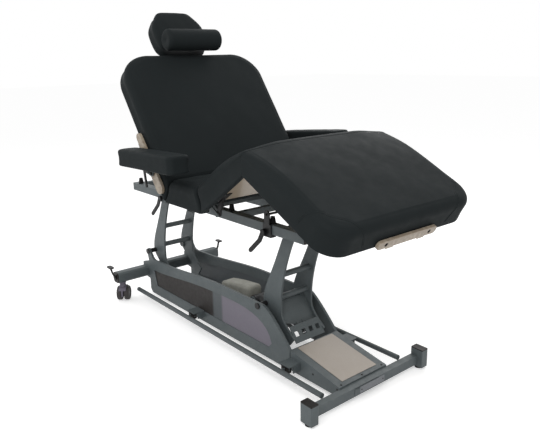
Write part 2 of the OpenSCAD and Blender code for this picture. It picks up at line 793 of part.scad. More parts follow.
// Lower web of the foot leg: a front cross plate with four square holes and a recessed panel above it
web_top = [88, 8];
cross_plate_h = 58;
module leg_web() {
    toe = tip / norm(tip);
    toe_side = [-toe.y, toe.x];
    front_low = tip + tip_w / 2 * toe_side * 0.8;
    front_dir = web_top - front_low;
    front_len = norm(front_dir);
    front_turn = atan2(front_dir.y, front_dir.x);
    translate([front_low.x, 0, front_low.y]) rotate([0, -front_turn, 0]) {
        difference() {
            span([-web_drop, -leg_in, 0], [cross_plate_h, leg_in, web_plate_t]);
            for (i = [-1.5:1:1.5]) translate([(cross_plate_h - web_drop) / 2, i * leg_in * 0.48, web_plate_t / 2])
                cube([square_hole, square_hole, web_plate_t + 2 * overrun], center = true);
        }
        difference() {
            span([panel_start, -leg_in, panel_back], [front_len + panel_back, leg_in, panel_back + web_plate_t]);
            translate([panel_start, -leg_in, panel_back - overrun])
                linear_extrude(web_plate_t + 2 * overrun)
                polygon([[-overrun, -overrun], [leg_in * 0.3, -overrun], [-overrun, leg_in * 0.8]]);
        }
    }
}

module head_leg() {
    leg_frame(head_pivot);
}
module foot_leg() {
    leg_frame(foot_axis);
    color(frame_grey) from_foot() translate([foot_axis.x, 0, foot_axis.y]) leg_web();
    crank_lugs();
}

// Lugs behind the web of the foot leg that hold the rod of the actuator
rod_eye_w = 24;
lug_t = 8;
crank_pin_r = 7;
module crank_lugs() {
    color(frame_grey) from_foot() {
        both_sides() side_cut(rod_eye_w / 2 + side_clear, rod_eye_w / 2 + side_clear + lug_t)
            round_bar(crank, foot_axis + web_top - panel_back * [1, 1.65], 3 * crank_pin_r);
        shaft(crank.x, crank.y, -rod_eye_w / 2 - lug_t, rod_eye_w / 2 + lug_t, crank_pin_r);
    }
}

// The line of the actuator from its trunnion to the crank
ram_vector = crank - trunnion;
ram_angle = atan2(ram_vector.y, ram_vector.x);
ram_tube_l = 196;
ram_bore_start = 42;
module on_ram() {
    from_foot() translate([trunnion.x, 0, trunnion.y]) rotate([0, -ram_angle, 0]) children();
}

// Outer tube of the actuator with its trunnion pins
module actuator_tube() {
    color(black) on_ram() difference() {
        union() {
            rotate([0, 90, 0]) cylinder(h = ram_tube_l, d = ram_tube_d);
            shaft(0, 0, -trunnion_in, trunnion_in, ram_tube_d / 2);
            shaft(0, 0, -trunnion_in - leg_t, trunnion_in + leg_t, trunnion_r);
        }
        translate([ram_bore_start, 0, 0]) rotate([0, 90, 0])
            cylinder(h = ram_tube_l, d = ram_rod_d + 2 * side_clear);
    }
}

// Moulded housing of the lift motor behind the trunnion
motor_top = 58;
motor_drop = 34;
motor_round = 26;
module motor_housing() {
    front = -ram_tube_d / 2 - side_clear / 2;
    head_end = front - motor_l;
    color(motor_beige) on_ram() rotate([0, ram_angle, 0]) {
        side_cut(-motor_w / 2, motor_w / 2) polygon(concat(
            [[front, -motor_drop]],
            curve([front, motor_top * 0.4], [front, motor_top * 0.78],
                  [front - motor_l * 0.06, motor_top * 0.8], [front - motor_l * 0.3, motor_top * 0.96], 8),
            curve([front - motor_l * 0.42, motor_top], [front - motor_l * 0.6, motor_top],
                  [front - motor_l * 0.8, motor_top * 0.86], [head_end + motor_round, motor_top * 0.58], 8),
            [[head_end + motor_round / 4, motor_top * 0.4], [head_end, 0]],
            [[head_end, -motor_drop]]));
    }
}

// Rod of the actuator with its eye on the crank pin
rod_l = 168;
module actuator_rod() {
    color([0.75, 0.76, 0.78]) on_ram() translate([norm(ram_vector), 0, 0]) difference() {
        union() {
            translate([-rod_l, 0, 0]) rotate([0, 90, 0]) cylinder(h = rod_l - crank_pin_r, d = ram_rod_d * 0.8);
            shaft(0, 0, -rod_eye_w / 2, rod_eye_w / 2, 2 * crank_pin_r);
        }
        shaft(0, 0, -rod_eye_w / 2 - overrun, rod_eye_w / 2 + overrun, crank_pin_r + run_clear);
    }
}

// Two rails and their cross members
module upper_frame() {
    head_top = head_pivot + leg_vector;
    foot_top = foot_axis + leg_vector;
    color(frame_grey) from_foot() {
        both_sides() difference() {
            span([-rail_foot - rail_l, rail_in, rail_z], [-rail_foot, rail_out, rail_top]);
            span([-rail_foot - rail_l - overrun, rail_in + tube_wall, rail_z + tube_wall],
                 [-rail_foot + overrun, rail_out - tube_wall, rail_top - tube_wall]);
            shaft(head_top.x, head_top.y, rail_in - overrun, rail_in + tube_wall + overrun, top_pin_r + run_clear);
            shaft(foot_top.x, foot_top.y, rail_in - overrun, rail_out - tube_wall, top_pin_r + open_clear);
        }
        for (place = cross_places) difference() {
            span([-place - cross_d / 2, -rail_in, rail_top - cross_d - tube_wall],
                 [-place + cross_d / 2, rail_in, rail_top - tube_wall]);
            span([-place - cross_d / 2 + tube_wall, -rail_in - overrun, rail_top - cross_d],
                 [-place + cross_d / 2 - tube_wall, rail_in + overrun, rail_top - 2 * tube_wall]);
        }
    }
}

// Plastic caps in both ends of the rails
rail_cap_t = 3;
module rail_end_caps() {
    color(black) from_foot() both_sides() for (end = [-rail_foot - rail_l, -rail_foot]) {
        out = end < -rail_l ? -1 : 1;
        lip = [min(end, end + out * rail_cap_t), max(end, end + out * rail_cap_t)];
        plug = [min(end, end - out * cap_plug), max(end, end - out * cap_plug)];
        span([lip.x, rail_in, rail_z], [lip.y, rail_out, rail_top]);
        span([plug.x, rail_in + tube_wall, rail_z + tube_wall], [plug.y, rail_out - tube_wall, rail_top - tube_wall]);
    }
}

// Cone-shaped rubber bumpers on the rails
module rail_bumpers() {
    color(black) from_foot() both_sides() for (place = bumper_places) translate([-place, rail_mid, rail_top]) {
        cylinder(h = bumper_h / 4, d = bumper_d);
        translate([0, 0, bumper_h / 4]) cylinder(h = bumper_h * 3 / 4, d1 = bumper_d, d2 = bumper_d * 0.7);
    }
}

// Bearer that carries the seat on the rails, with the ears and pins of both fold hinges
bearer_l = 36;
bearer_w = 560;
hinge_y = 215;
thigh_hinge_y = 300;
thigh_prop_y = 40;
hinge_lug_t = 10;
hinge_ear_t = 6;
hinge_r = 9;
hinge_pin_r = 4;
back_fold = [-back_axis, axis_z];
thigh_fold = [-thigh_axis, axis_z];
module seat_bearers() {
    ear_in = hinge_lug_t / 2 + side_clear;
    front = back_fold.x + back_lean * deck_low + side_clear;
    deck_z = axis_z + deck_low;
    leaf_x = thigh_lean * deck_high + board_in;
    color(frame_grey) from_foot() {
        difference() {
            span([front, -bearer_w / 2, rail_top], [front + bearer_l, bearer_w / 2, deck_z]);
            span([front + tube_wall, -bearer_w / 2 - overrun, rail_top + tube_wall],
                 [front + bearer_l - tube_wall, bearer_w / 2 + overrun, deck_z - tube_wall]);
        }
        both_sides() for (ear_y = [hinge_y - ear_in - hinge_ear_t, hinge_y + ear_in])
            side_cut(ear_y, ear_y + hinge_ear_t) round_bar(back_fold, [front + hinge_r, axis_z], 2 * hinge_r);
        both_sides() shaft(back_fold.x, axis_z, hinge_y - ear_in - hinge_ear_t, hinge_y + ear_in + hinge_ear_t,
                           hinge_pin_r);
        both_sides() {
            for (ear_y = [thigh_hinge_y - ear_in - hinge_ear_t, thigh_hinge_y + ear_in])
                side_cut(ear_y, ear_y + hinge_ear_t) translate(thigh_fold) mirror([1, 0]) knuckle_arm(leaf_x, deck_low);
            span([thigh_fold.x - leaf_x - leaf_l, thigh_hinge_y - 2 * hinge_lug_t, deck_z - leaf_t],
                 [thigh_fold.x - leaf_x, thigh_hinge_y + 2 * hinge_lug_t, deck_z]);
            shaft(thigh_fold.x, axis_z, thigh_hinge_y - ear_in - hinge_ear_t, thigh_hinge_y + ear_in + hinge_ear_t,
                  hinge_pin_r);
        }
    }
}

// Fold geometry: how far an end face leans back for each unit of height over the fold axis
back_lean = 1 / tan((180 - back_raise - back_spare) / 2);
thigh_lean = 1 / tan((180 - thigh_raise - thigh_spare) / 2);
knee_lean = tan((thigh_raise + leg_droop) / 2);
board_low = hinge_drop;
board_high = hinge_drop + board_t;
deck_low = board_low + skirt_h;
deck_high = deck_low + board_t;
seat_top = hinge_drop + seat_pad_t;
back_top = hinge_drop + back_pad_t;
leg_top = hinge_drop + leg_pad_t;

// Section frames: X along the section from its fold axis, Z up from that axis
module in_seat() {
    from_foot() translate([back_fold.x, 0, back_fold.y]) children();
}
module in_back() {
    from_foot() translate([back_fold.x, 0, back_fold.y]) rotate([0, back_raise, 0]) rotate(180) children();
}
module in_thigh() {
    from_foot() translate([thigh_fold.x, 0, thigh_fold.y]) rotate([0, -thigh_raise, 0]) children();
}
knee_axis = thigh_fold + thigh_l * [cos(thigh_raise), sin(thigh_raise)]
    + leg_top * [-sin(thigh_raise), cos(thigh_raise)];
module in_leg() {
    from_foot() translate([knee_axis.x, 0, knee_axis.y]) rotate([0, leg_droop, 0]) children();
}

// Outline of a cushion from u0 to u1, with its own corner radius at either end
function pad_outline(u0, u1, half, r0, r1, n) = concat(
    arc([u0 + r0, -half + r0], r0, 180, 270, n),
    [[(u0 + u1) / 2, -half]],
    arc([u1 - r1, -half + r1], r1, 270, 360, n),
    [[u1, -half / 2], [u1, 0], [u1, half / 2]],
    arc([u1 - r1, half - r1], r1, 0, 90, n),
    [[(u0 + u1) / 2, half]],
    arc([u0 + r0, half - r0], r0, 90, 180, n),
    [[u0, half / 2], [u0, 0], [u0, -half / 2]]);

// Shares of the height and of the edge softness at which the side of a cushion is drawn in,
// and shares of the crown towards the middle
side_shares = [[0, 1], [0.07, 0.6], [0.16, 0.3], [0.3, 0.08], [0.44, 0], [0.57, 0], [0.7, 0.15], [0.82, 0.55],
               [0.91, 1.15], [0.96, 1.8], [1, 2.8]];
top_inset_share = 2.8;
crown_shares = [[0.3, 0.55], [0.62, 0.9], [0.88, 1]];
function doubled(rows) =
    concat([for (i = [0:len(rows) - 2]) each [rows[i], (rows[i] + rows[i + 1]) / 2]], [rows[len(rows) - 1]]);

// How far the end of a cushion moves in at a height over its fold axis: a straight lean, or a hollow round the knee roll
roll_gap = 0.6;
function straight(lean) = function (w) w * lean;
function roll_cut(h) = knee_rise + roll_gap > abs(h) ? sqrt((knee_rise + roll_gap) ^ 2 - h * h) : 0;

// A crowned cushion: from the pocket of its board out over the bottom, up its drawn-in side, over its crown
module pad(outline, w0, w1, soft, crown, shift0, shift1, pocket, rows = side_shares) {
    us = [for (p = outline) p.x];
    u0 = min(us);
    u1 = max(us);
    half = max([for (p = outline) p.y]);
    mid = (u0 + u1) / 2;
    long = (u1 - u0) / 2;
    n = len(outline);
    levels = concat(
        pocket > 0 ? [[soft + board_lip, w0 + pocket, 0], [soft + board_lip, w0, 0]] : [],
        [for (s = rows) [s.y * soft, w0 + s.x * (w1 - w0), 0]],
        [for (s = crown_shares) [top_inset_share * soft, w1 + s.y * crown, s.x]]);
    rings = [for (level = levels) [for (p = outline)
        let (keep = 1 - level[2], along = (p.x - u0) / (u1 - u0), w = level[1])
        [mid + (p.x - mid) * (1 - level[0] / long) * keep + shift0(w) * (1 - along) + shift1(w) * along,
         p.y * (1 - level[0] / half) * keep, w]]];
    count = len(rings);
    low_w = levels[0][1];
    high_w = w1 + crown;
    function middle(w) = mid + (shift0(w) + shift1(w)) / 2;
    points = concat([for (ring = rings) each ring],
                    [[middle(low_w), 0, low_w], [middle(high_w), 0, high_w]]);
    sides = [for (k = [0:count - 2], i = [0:n - 1]) let (j = (i + 1) % n)
        each [[k * n + i, (k + 1) * n + i, (k + 1) * n + j], [k * n + i, (k + 1) * n + j, k * n + j]]];
    last = (count - 1) * n;
    caps = [for (i = [0:n - 1]) let (j = (i + 1) % n)
        each [[count * n, i, j], [count * n + 1, last + j, last + i]]];
    polyhedron(points = points, faces = concat(caps, sides), convexity = 4);
}

// A board with round corners at its free end
board_corner = 17;
module board(u0, u1, low, r) {
    translate([0, 0, low]) linear_extrude(board_t) {
        translate([u0 + board_corner, -board_half]) square([u1 - u0 - r - board_corner, 2 * board_half]);
        translate([u0, -board_half + board_corner])
            square([board_corner + overrun, 2 * board_half - 2 * board_corner]);
        for (y = [-board_half + board_corner, board_half - board_corner])
            translate([u0 + board_corner, y]) circle(r = board_corner);
        translate([u1 - r - overrun, -board_half + r]) square([r + overrun, 2 * board_half - 2 * r]);
        for (y = [-board_half + r, board_half - r]) translate([u1 - r, y]) circle(r = r);
    }
}

seat_run = back_axis - thigh_axis;
edge_soft = 9;
board_in = board_lip + edge_soft + 2 * side_clear;
board_half = top_half_w - board_in;
small_corner = 14;
corner_n = 5;

module seat_board() {
    color(maple) in_seat()
        board(back_lean * deck_high + board_in, seat_run - thigh_lean * deck_high - board_in, deck_low, small_corner);
}
// Leaves the skirts of a cushion at its sides only, so that its ends are open below the board
module open_under(u1) {
    difference() {
        children();
        span([-board_in, -board_half + board_corner, board_low - overrun],
             [u1 + board_in, board_half - board_corner, deck_low]);
    }
}
module seat_cushion() {
    color(vinyl) in_seat() open_under(seat_run)
        pad(pad_outline(fold_gap, seat_run - fold_gap, top_half_w, small_corner, small_corner, corner_n),
            board_low, seat_top, edge_soft, crown_h / 2, straight(back_lean), straight(-thigh_lean), board_t + skirt_h);
}

module back_board() {
    color(maple) in_back() board(back_lean * board_high + board_in, back_l - board_in, board_low, back_corner);
}
module back_cushion() {
    color(vinyl) in_back()
        pad(pad_outline(fold_gap, back_l, top_half_w, small_corner, back_corner, 2 * corner_n),
            board_low, back_top, edge_soft, crown_h, straight(back_lean), straight(0), board_t);
}

// Steel parts under a section: leaves with the middle knuckles of its fold hinges and ears for its prop
leaf_t = 3;
leaf_l = 70;
ear_t = 8;
prop_pin_r = 5;
carriage_gap = 1.5;
carriage_t = 6;
carriage_l = 50;
carriage_lip = 22;
lever_hub_t = 14;
prop_y = rail_out + carriage_gap + carriage_t + side_clear;
// Arm from a hinge knuckle at the fold axis to the leaf at a height of low
module knuckle_arm(start, low) {
    k = hinge_r * 0.7;
    circle(r = hinge_r);
    polygon([[-k, k], [k, -k], [start + leaf_l / 2, low - leaf_t], [start, low - leaf_t]]);
}
module fold_leaves(start, y, low) {
    both_sides() {
        span([start, y - 2 * hinge_lug_t, low - leaf_t], [start + leaf_l, y + 2 * hinge_lug_t, low]);
        difference() {
            side_cut(y - hinge_lug_t / 2, y + hinge_lug_t / 2) knuckle_arm(start, low);
            shaft(0, 0, y - hinge_lug_t, y + hinge_lug_t, hinge_pin_r + run_clear);
        }
    }
}
module prop_ears(u, y, low) {
    ear_y = y + prop_t + side_clear;
    both_sides() {
        side_cut(ear_y, ear_y + ear_t) {
            translate([u, 0]) circle(d = prop_w);
            translate([u - prop_w / 2, 0]) square([prop_w, low - leaf_t]);
        }
        span([u - prop_w, ear_y, low - leaf_t], [u + prop_w, ear_y + 3 * ear_t, low]);
        shaft(u, 0, y - side_clear, ear_y, prop_pin_r);
    }
}

armrest_w_axis = 36;
slat_y = top_half_w + side_clear;
arm_plate_y = slat_y + slat_t + 5 * side_clear;
arm_plate_t = 4;
slat_start = 40;
slat_low_w = 52;
slat_bracket_w = 40;
module back_brackets() {
    color(frame_grey) in_back() {
        fold_leaves(back_lean * board_high + board_in, hinge_y, board_low);
        prop_ears(back_prop_l, prop_y, board_low);
        both_sides() {
            for (u = [slat_start + slat_bracket_w, slat_start + slat_l - 2 * slat_bracket_w])
                span([u, top_half_w * 0.8, board_low - leaf_t], [u + slat_bracket_w, slat_y + slat_t, board_low]);
            shaft(armrest_u, armrest_w_axis, slat_y, arm_plate_y + arm_plate_t + prop_w, prop_pin_r);
            shaft(armrest_u, armrest_w_axis, slat_y + slat_t, arm_plate_y - side_clear, 2 * prop_pin_r);
        }
    }
}
module slat_outline(u0, u1) {
    translate([u0, board_low + slat_low_w / 2]) circle(d = slat_low_w);
    translate([u1, board_low + slat_w / 2]) circle(d = slat_w);
    polygon([[u0, board_low], [u1, board_low], [u1, board_low + slat_w], [u0, board_low + slat_low_w]]);
}
module back_slats() {
    color(maple) in_back() both_sides() difference() {
        side_cut(slat_y, slat_y + slat_t)
            slat_outline(slat_start + slat_low_w / 2, slat_start + slat_l - slat_w / 2);
        shaft(armrest_u, armrest_w_axis, slat_y - overrun, slat_y + slat_t + overrun, prop_pin_r);
    }
}

thigh_end = thigh_l - leg_top * knee_lean - fold_gap;
module thigh_board() {
    color(maple) in_thigh()
        board(thigh_lean * deck_high + board_in, thigh_l - fold_gap - knee_rise - roll_gap - board_in, deck_low,
              small_corner);
}
module thigh_cushion() {
    color(vinyl) in_thigh() open_under(thigh_end)
        pad(pad_outline(fold_gap, thigh_end, top_half_w, small_corner, small_corner, corner_n),
            board_low, leg_top + knee_rise, edge_soft, crown_h / 2, straight(thigh_lean),
            function (w) min(w * knee_lean, leg_top * knee_lean - roll_cut(w - leg_top)), board_t + skirt_h,
            doubled(side_shares));
}
module thigh_brackets() {
    color(frame_grey) in_thigh() {
        fold_leaves(thigh_lean * deck_high + board_in, thigh_hinge_y, deck_low);
        prop_ears(thigh_prop_l, thigh_prop_y, deck_low);
    }
}

// Padded roll on the axis of the knee fold, in the hollow ends of the thigh and leg cushions
roll_soft = 12;
module knee_roll() {
    half = top_half_w - edge_soft;
    color(vinyl) in_leg() rotate([90, 0, 0]) rotate_extrude()
        polygon([[0, -half], [knee_rise - roll_soft, -half], [knee_rise, -half + roll_soft],
                 [knee_rise, half - roll_soft], [knee_rise - roll_soft, half], [0, half]]);
}

leg_low = -leg_pad_t;
module leg_board() {
    color(maple) in_leg() board(board_in + knee_lean * leg_pad_t, leg_l - board_in, leg_low, leg_corner);
}
module leg_cushion() {
    color(vinyl) in_leg()
        pad(pad_outline(fold_gap, leg_l, top_half_w, small_corner, leg_corner, 2 * corner_n),
            leg_low, knee_rise, edge_soft, crown_h / 2, function (w) max(-w * knee_lean, roll_cut(w)),
            straight(0), board_t, doubled(side_shares));
}

// Maple bar across the foot end with two holes for accessories, on two battens under the board
batten_l = 110;
batten_w = 40;
batten_t = 8;
module outlet_bar() {
    color(maple) in_leg() {
        both_sides() span([leg_l - batten_l, outlet_pitch / 2 - batten_w - 2 * outlet_r, leg_low - batten_t],
                          [leg_l + outlet_bar_t, outlet_pitch / 2 - 2 * outlet_r, leg_low]);
        difference() {
            span([leg_l + side_clear, -outlet_bar_l / 2, leg_low],
                 [leg_l + outlet_bar_t, outlet_bar_l / 2, leg_low + outlet_bar_h]);
            both_sides() translate([leg_l - overrun, outlet_pitch / 2, leg_low + outlet_bar_h / 2])
                rotate([0, 90, 0]) cylinder(h = outlet_bar_t + 2 * overrun, r = outlet_r);
        }
    }
}

// Carriages that slide along the outside of the rails, each joined across by the axle of its prop
module carriage(x) {
    plate_y = rail_out + carriage_gap;
    lip_z = rail_z - carriage_gap;
    color(frame_grey) from_foot() translate([x, 0, 0]) {
        both_sides() {
            span([-carriage_l / 2, plate_y, lip_z - 2 * carriage_t], [carriage_l / 2, plate_y + carriage_t, rail_top]);
            side_cut(plate_y, plate_y + carriage_t) {
                translate([-prop_w, rail_top - overrun]) square([2 * prop_w, axis_z - rail_top + overrun]);
                translate([0, axis_z]) circle(r = prop_w);
            }
            span([-carriage_l / 2, plate_y - carriage_lip, lip_z - 2 * carriage_t], [carriage_l / 2, plate_y, lip_z]);
        }
        shaft(0, axis_z, -prop_y - prop_t, prop_y + prop_t, prop_pin_r);
        shaft(-carriage_l / 4, rail_z + lever_hub_d / 4, -plate_y - carriage_t - lever_hub_t, -plate_y, prop_pin_r);
    }
}
back_slider = back_fold.x - 2 * back_prop_l * cos(back_raise);
thigh_slider = thigh_fold.x + 2 * thigh_prop_l * cos(thigh_raise);
module back_carriage() {
    carriage(back_slider);
}
module thigh_carriage() {
    carriage(thigh_slider);
}

// A prop: two arms between the carriage axle and the ears of the section, with a cross tube
module prop(slider, fold, angle, length, y) {
    up = fold + length * [cos(angle), sin(angle)];
    low = [slider, axis_z];
    middle = (up + low) / 2;
    color(frame_grey) from_foot() difference() {
        union() {
            both_sides() side_cut(y, y + prop_t) round_bar(low, up, prop_w);
            shaft(middle.x, middle.y, -y - prop_t / 2, y + prop_t / 2, prop_w * 0.4);
        }
        both_sides() for (end = [low, up])
            shaft(end.x, end.y, y - overrun, y + prop_t + overrun, prop_pin_r + run_clear);
    }
}
module back_prop() {
    prop(back_slider, back_fold, 180 - back_raise, back_prop_l, prop_y);
}
module thigh_prop() {
    prop(thigh_slider, thigh_fold, thigh_raise, thigh_prop_l, thigh_prop_y);
}

// Clamp lever on the near carriage plate: a hub and a bent handle
lever_lean = 61;
module clamp_lever(x) {
    hub = [x - carriage_l / 4, rail_z + lever_hub_d / 4];
    elbow = hub + lever_l * 0.35 * [-cos(lever_lean), -sin(lever_lean)];
    knob = hub + lever_l * [-cos(lever_lean * 0.8), -sin(lever_lean * 0.8)];
    y0 = -rail_out - carriage_gap - carriage_t - side_clear - lever_hub_t;
    color(black) from_foot() difference() {
        union() {
            shaft(hub.x, hub.y, y0, y0 + lever_hub_t, lever_hub_d / 2);
            side_cut(y0, y0 + lever_hub_t / 2) {
                round_bar(hub, elbow, lever_hub_d * 0.75);
                round_bar(elbow, knob, lever_hub_d * 0.7);
            }
        }
        shaft(hub.x, hub.y, y0 - overrun, y0 + lever_hub_t + overrun, prop_pin_r + run_clear);
    }
}
module back_clamp_lever() {
    clamp_lever(back_slider);
}
module leg_clamp_lever() {
    clamp_lever(thigh_slider);
}

// Headrest: a receiver under the back, two rods with a cross bar, a tilting plate, a pad and a bolster
headrest_u = back_l + headrest_gap;
receiver_in = 86;
receiver_u = back_l - receiver_in;
receiver_l = 56;
receiver_h = 22;
rod_w = 2;
rod_in = 116;
rod_start = back_l - rod_in;
cross_bar_r = 7;
head_axis_u = headrest_u + 6;
head_plate_t = 8;
head_low = 12;
knuckle_t = 12;
module headrest_receiver() {
    wide = rod_pitch + 4 * rod_d;
    color(black) in_back() difference() {
        span([receiver_u, -wide / 2, board_low - receiver_h], [receiver_u + receiver_l, wide / 2, board_low]);
        for (y = [-rod_pitch / 2, rod_pitch / 2]) translate([receiver_u - overrun, y, rod_w]) rotate([0, 90, 0])
            cylinder(h = receiver_l + 2 * overrun, d = rod_d + 2 * run_clear);
    }
}
module headrest_rods() {
    color([0.75, 0.76, 0.78]) in_back() {
        for (y = [-rod_pitch / 2, rod_pitch / 2]) translate([rod_start, y, rod_w]) rotate([0, 90, 0])
            cylinder(h = head_axis_u - rod_start, d = rod_d);
        shaft(head_axis_u, rod_w, -rod_pitch / 2 - rod_d, rod_pitch / 2 + rod_d, cross_bar_r);
    }
}
module headrest_plate() {
    color(maple) in_back() {
        translate([head_axis_u - rod_d / 2, -rod_pitch / 2 - rod_d, head_low])
            cube([headrest_l * 0.85, rod_pitch + 2 * rod_d, head_plate_t]);
        both_sides() difference() {
            side_cut(rod_pitch / 2 - rod_d - knuckle_t, rod_pitch / 2 - rod_d) {
                translate([head_axis_u, rod_w]) circle(d = 2 * rod_d);
                translate([head_axis_u, rod_w]) square([2 * rod_d, head_low - rod_w]);
            }
            shaft(head_axis_u, rod_w, 0, rod_pitch / 2, cross_bar_r + run_clear);
        }
    }
}
// Outline of the headrest pad: narrow at the neck, wide at the ears, its upper corners cut away
function headrest_outline() =
    let (u0 = headrest_u, u1 = headrest_u + headrest_l, h = headrest_half_w,
         side = concat(
             curve([u0, h * 0.55], [u0, h * 0.8], [u0 + headrest_l * 0.12, h], [u0 + headrest_l * 0.3, h], 5),
             curve([u0 + headrest_l * 0.66, h], [u0 + headrest_l * 0.8, h], [u1 - headrest_l * 0.12, h * 0.72],
                   [u1 - headrest_l * 0.04, h * 0.62], 5),
             [[u1, h * 0.5]]))
    concat([for (p = side) [p.x, -p.y]], [[u1, 0]], [for (i = [len(side) - 1:-1:0]) side[i]], [[u0, 0]]);
head_pad_low = head_low + head_plate_t;
module headrest_pad() {
    color(vinyl) in_back() pad(headrest_outline(), head_pad_low, head_pad_low + headrest_t, edge_soft * 0.7, crown_h / 2, straight(0), straight(0), 0);
}
bolster_round = 10;
module neck_bolster() {
    r = bolster_d / 2;
    color(vinyl) in_back()
        translate([headrest_u + 2 * bolster_round, -bolster_l / 2, head_pad_low + headrest_t + crown_h * 0.07 + r])
        rotate([-90, 0, 0]) rotate_extrude() {
            square([r - bolster_round, bolster_l]);
            translate([0, bolster_round]) square([r, bolster_l - 2 * bolster_round]);
            for (y = [bolster_round, bolster_l - bolster_round]) translate([r - bolster_round, y]) circle(r = bolster_round);
        }
}

// Armrests, each on a steel bracket that turns about a pin through the slat
arm_axis = back_fold + armrest_u * [-cos(back_raise), sin(back_raise)]
    + armrest_w_axis * [sin(back_raise), cos(back_raise)];
arm_rise = 30;
arm_corner = 24;
module in_arm() {
    from_foot() translate([arm_axis.x, 0, arm_axis.y]) rotate([0, -armrest_pitch, 0]) children();
}
module armrest() {
    color(vinyl) in_arm() translate([armrest_l / 2 - armrest_back, arm_plate_y + armrest_w / 2, 0])
        pad(pad_outline(-armrest_l / 2, armrest_l / 2, armrest_w / 2, arm_corner, arm_corner, 3),
            arm_rise, arm_rise + armrest_t, edge_soft * 0.6, crown_h * 0.3, straight(0), straight(0), 0);
}
module armrest_near() {
    mirror([0, 1, 0]) armrest();
}
module armrest_far() {
    armrest();
}
arm_flange_l = 300;
module armrest_bracket() {
    color(frame_grey) in_arm() {
        span([-arm_flange_l / 6, arm_plate_y, arm_rise - arm_plate_t],
             [arm_flange_l, arm_plate_y + armrest_w * 0.6, arm_rise]);
        difference() {
            side_cut(arm_plate_y, arm_plate_y + arm_plate_t) {
                circle(r = arm_rise * 0.6);
                polygon([[-arm_rise * 0.6, 0], [arm_rise * 0.6, 0], [2 * arm_rise, arm_rise - arm_plate_t],
                         [-arm_flange_l / 6, arm_rise - arm_plate_t]]);
            }
            shaft(0, 0, arm_plate_y - overrun, arm_plate_y + arm_plate_t + overrun, prop_pin_r + run_clear);
        }
    }
}
module armrest_bracket_near() {
    mirror([0, 1, 0]) armrest_bracket();
}
module armrest_bracket_far() {
    armrest_bracket();
}
arm_lever_reach = 52;
arm_lever_drop = 66;
arm_lever_w = 12;
module armrest_lever() {
    y0 = arm_plate_y + arm_plate_t + side_clear;
    color(black) from_foot() translate([arm_axis.x, 0, arm_axis.y]) difference() {
        side_cut(y0, y0 + prop_t) {
            circle(r = arm_lever_w);
            round_bar([0, 0], [-arm_lever_reach, 0], arm_lever_w);
            round_bar([-arm_lever_reach, 0], [-arm_lever_reach + arm_lever_w, -arm_lever_drop], arm_lever_w);
        }
        shaft(0, 0, y0 - overrun, y0 + prop_t + overrun, prop_pin_r + run_clear);
    }
}
module armrest_lever_near() {
    mirror([0, 1, 0]) armrest_lever();
}
module armrest_lever_far() {
    armrest_lever();
}

foot_crossbar();
base_end_caps();
levelling_feet();
base_tray();
tray_cover();
side_plate_near();
side_plate_far();
window_panels();
base_cross_members();
head_crossbar();
base_pivot_pins();
bar_brackets();
bar_pivot_blocks();
caster_fork_near();
caster_fork_far();
caster_wheels_near();
caster_wheels_far();
brake_pedal_bar();
control_bar_near();
control_bar_far();
head_leg();
foot_leg();
motor_housing();
actuator_tube();
actuator_rod();
upper_frame();
rail_end_caps();
rail_bumpers();
seat_bearers();
seat_board();
seat_cushion();
back_board();
back_brackets();
back_cushion();
back_slats();
thigh_board();
thigh_brackets();
thigh_cushion();
knee_roll();
leg_board();
leg_cushion();
outlet_bar();
back_prop();
back_carriage();
thigh_prop();
thigh_carriage();
back_clamp_lever();
leg_clamp_lever();
headrest_receiver();
headrest_rods();
headrest_plate();
headrest_pad();
neck_bolster();
armrest_near();
armrest_far();
armrest_bracket_near();
armrest_bracket_far();
armrest_lever_near();
armrest_lever_far();
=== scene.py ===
import json
import math
import bmesh
import bpy
import numpy as np
from mathutils import Matrix, Vector
from mathutils.bvhtree import BVHTree


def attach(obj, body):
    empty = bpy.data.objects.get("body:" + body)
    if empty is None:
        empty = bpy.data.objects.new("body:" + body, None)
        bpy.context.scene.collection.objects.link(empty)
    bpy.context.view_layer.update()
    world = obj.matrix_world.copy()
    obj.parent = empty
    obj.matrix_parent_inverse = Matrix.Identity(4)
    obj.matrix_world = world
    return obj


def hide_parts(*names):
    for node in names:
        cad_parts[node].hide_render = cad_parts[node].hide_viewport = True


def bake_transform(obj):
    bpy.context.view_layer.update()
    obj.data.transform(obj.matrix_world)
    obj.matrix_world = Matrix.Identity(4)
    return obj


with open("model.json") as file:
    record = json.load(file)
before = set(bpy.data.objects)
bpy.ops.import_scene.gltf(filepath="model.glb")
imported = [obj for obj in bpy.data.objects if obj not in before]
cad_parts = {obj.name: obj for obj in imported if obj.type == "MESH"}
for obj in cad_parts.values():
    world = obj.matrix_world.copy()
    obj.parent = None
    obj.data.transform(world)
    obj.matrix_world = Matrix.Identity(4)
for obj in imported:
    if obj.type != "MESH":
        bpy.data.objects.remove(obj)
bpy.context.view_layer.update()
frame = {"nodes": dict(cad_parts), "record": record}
nodes = frame["nodes"]
print("frame loaded", len(nodes), "nodes")

# Lengths are in metres. X = 0 is under the middle of the table; footFace is the foot end of the base.
footFace = 0.732
scene = bpy.context.scene

cameraSpec = {
    "place": (1.3537 + footFace, -1.6171, 1.2887),
    "azimuth": 50.69,
    "pitch": 15.29,
    "roll": -1.14,
    "lens": 39.87,
}


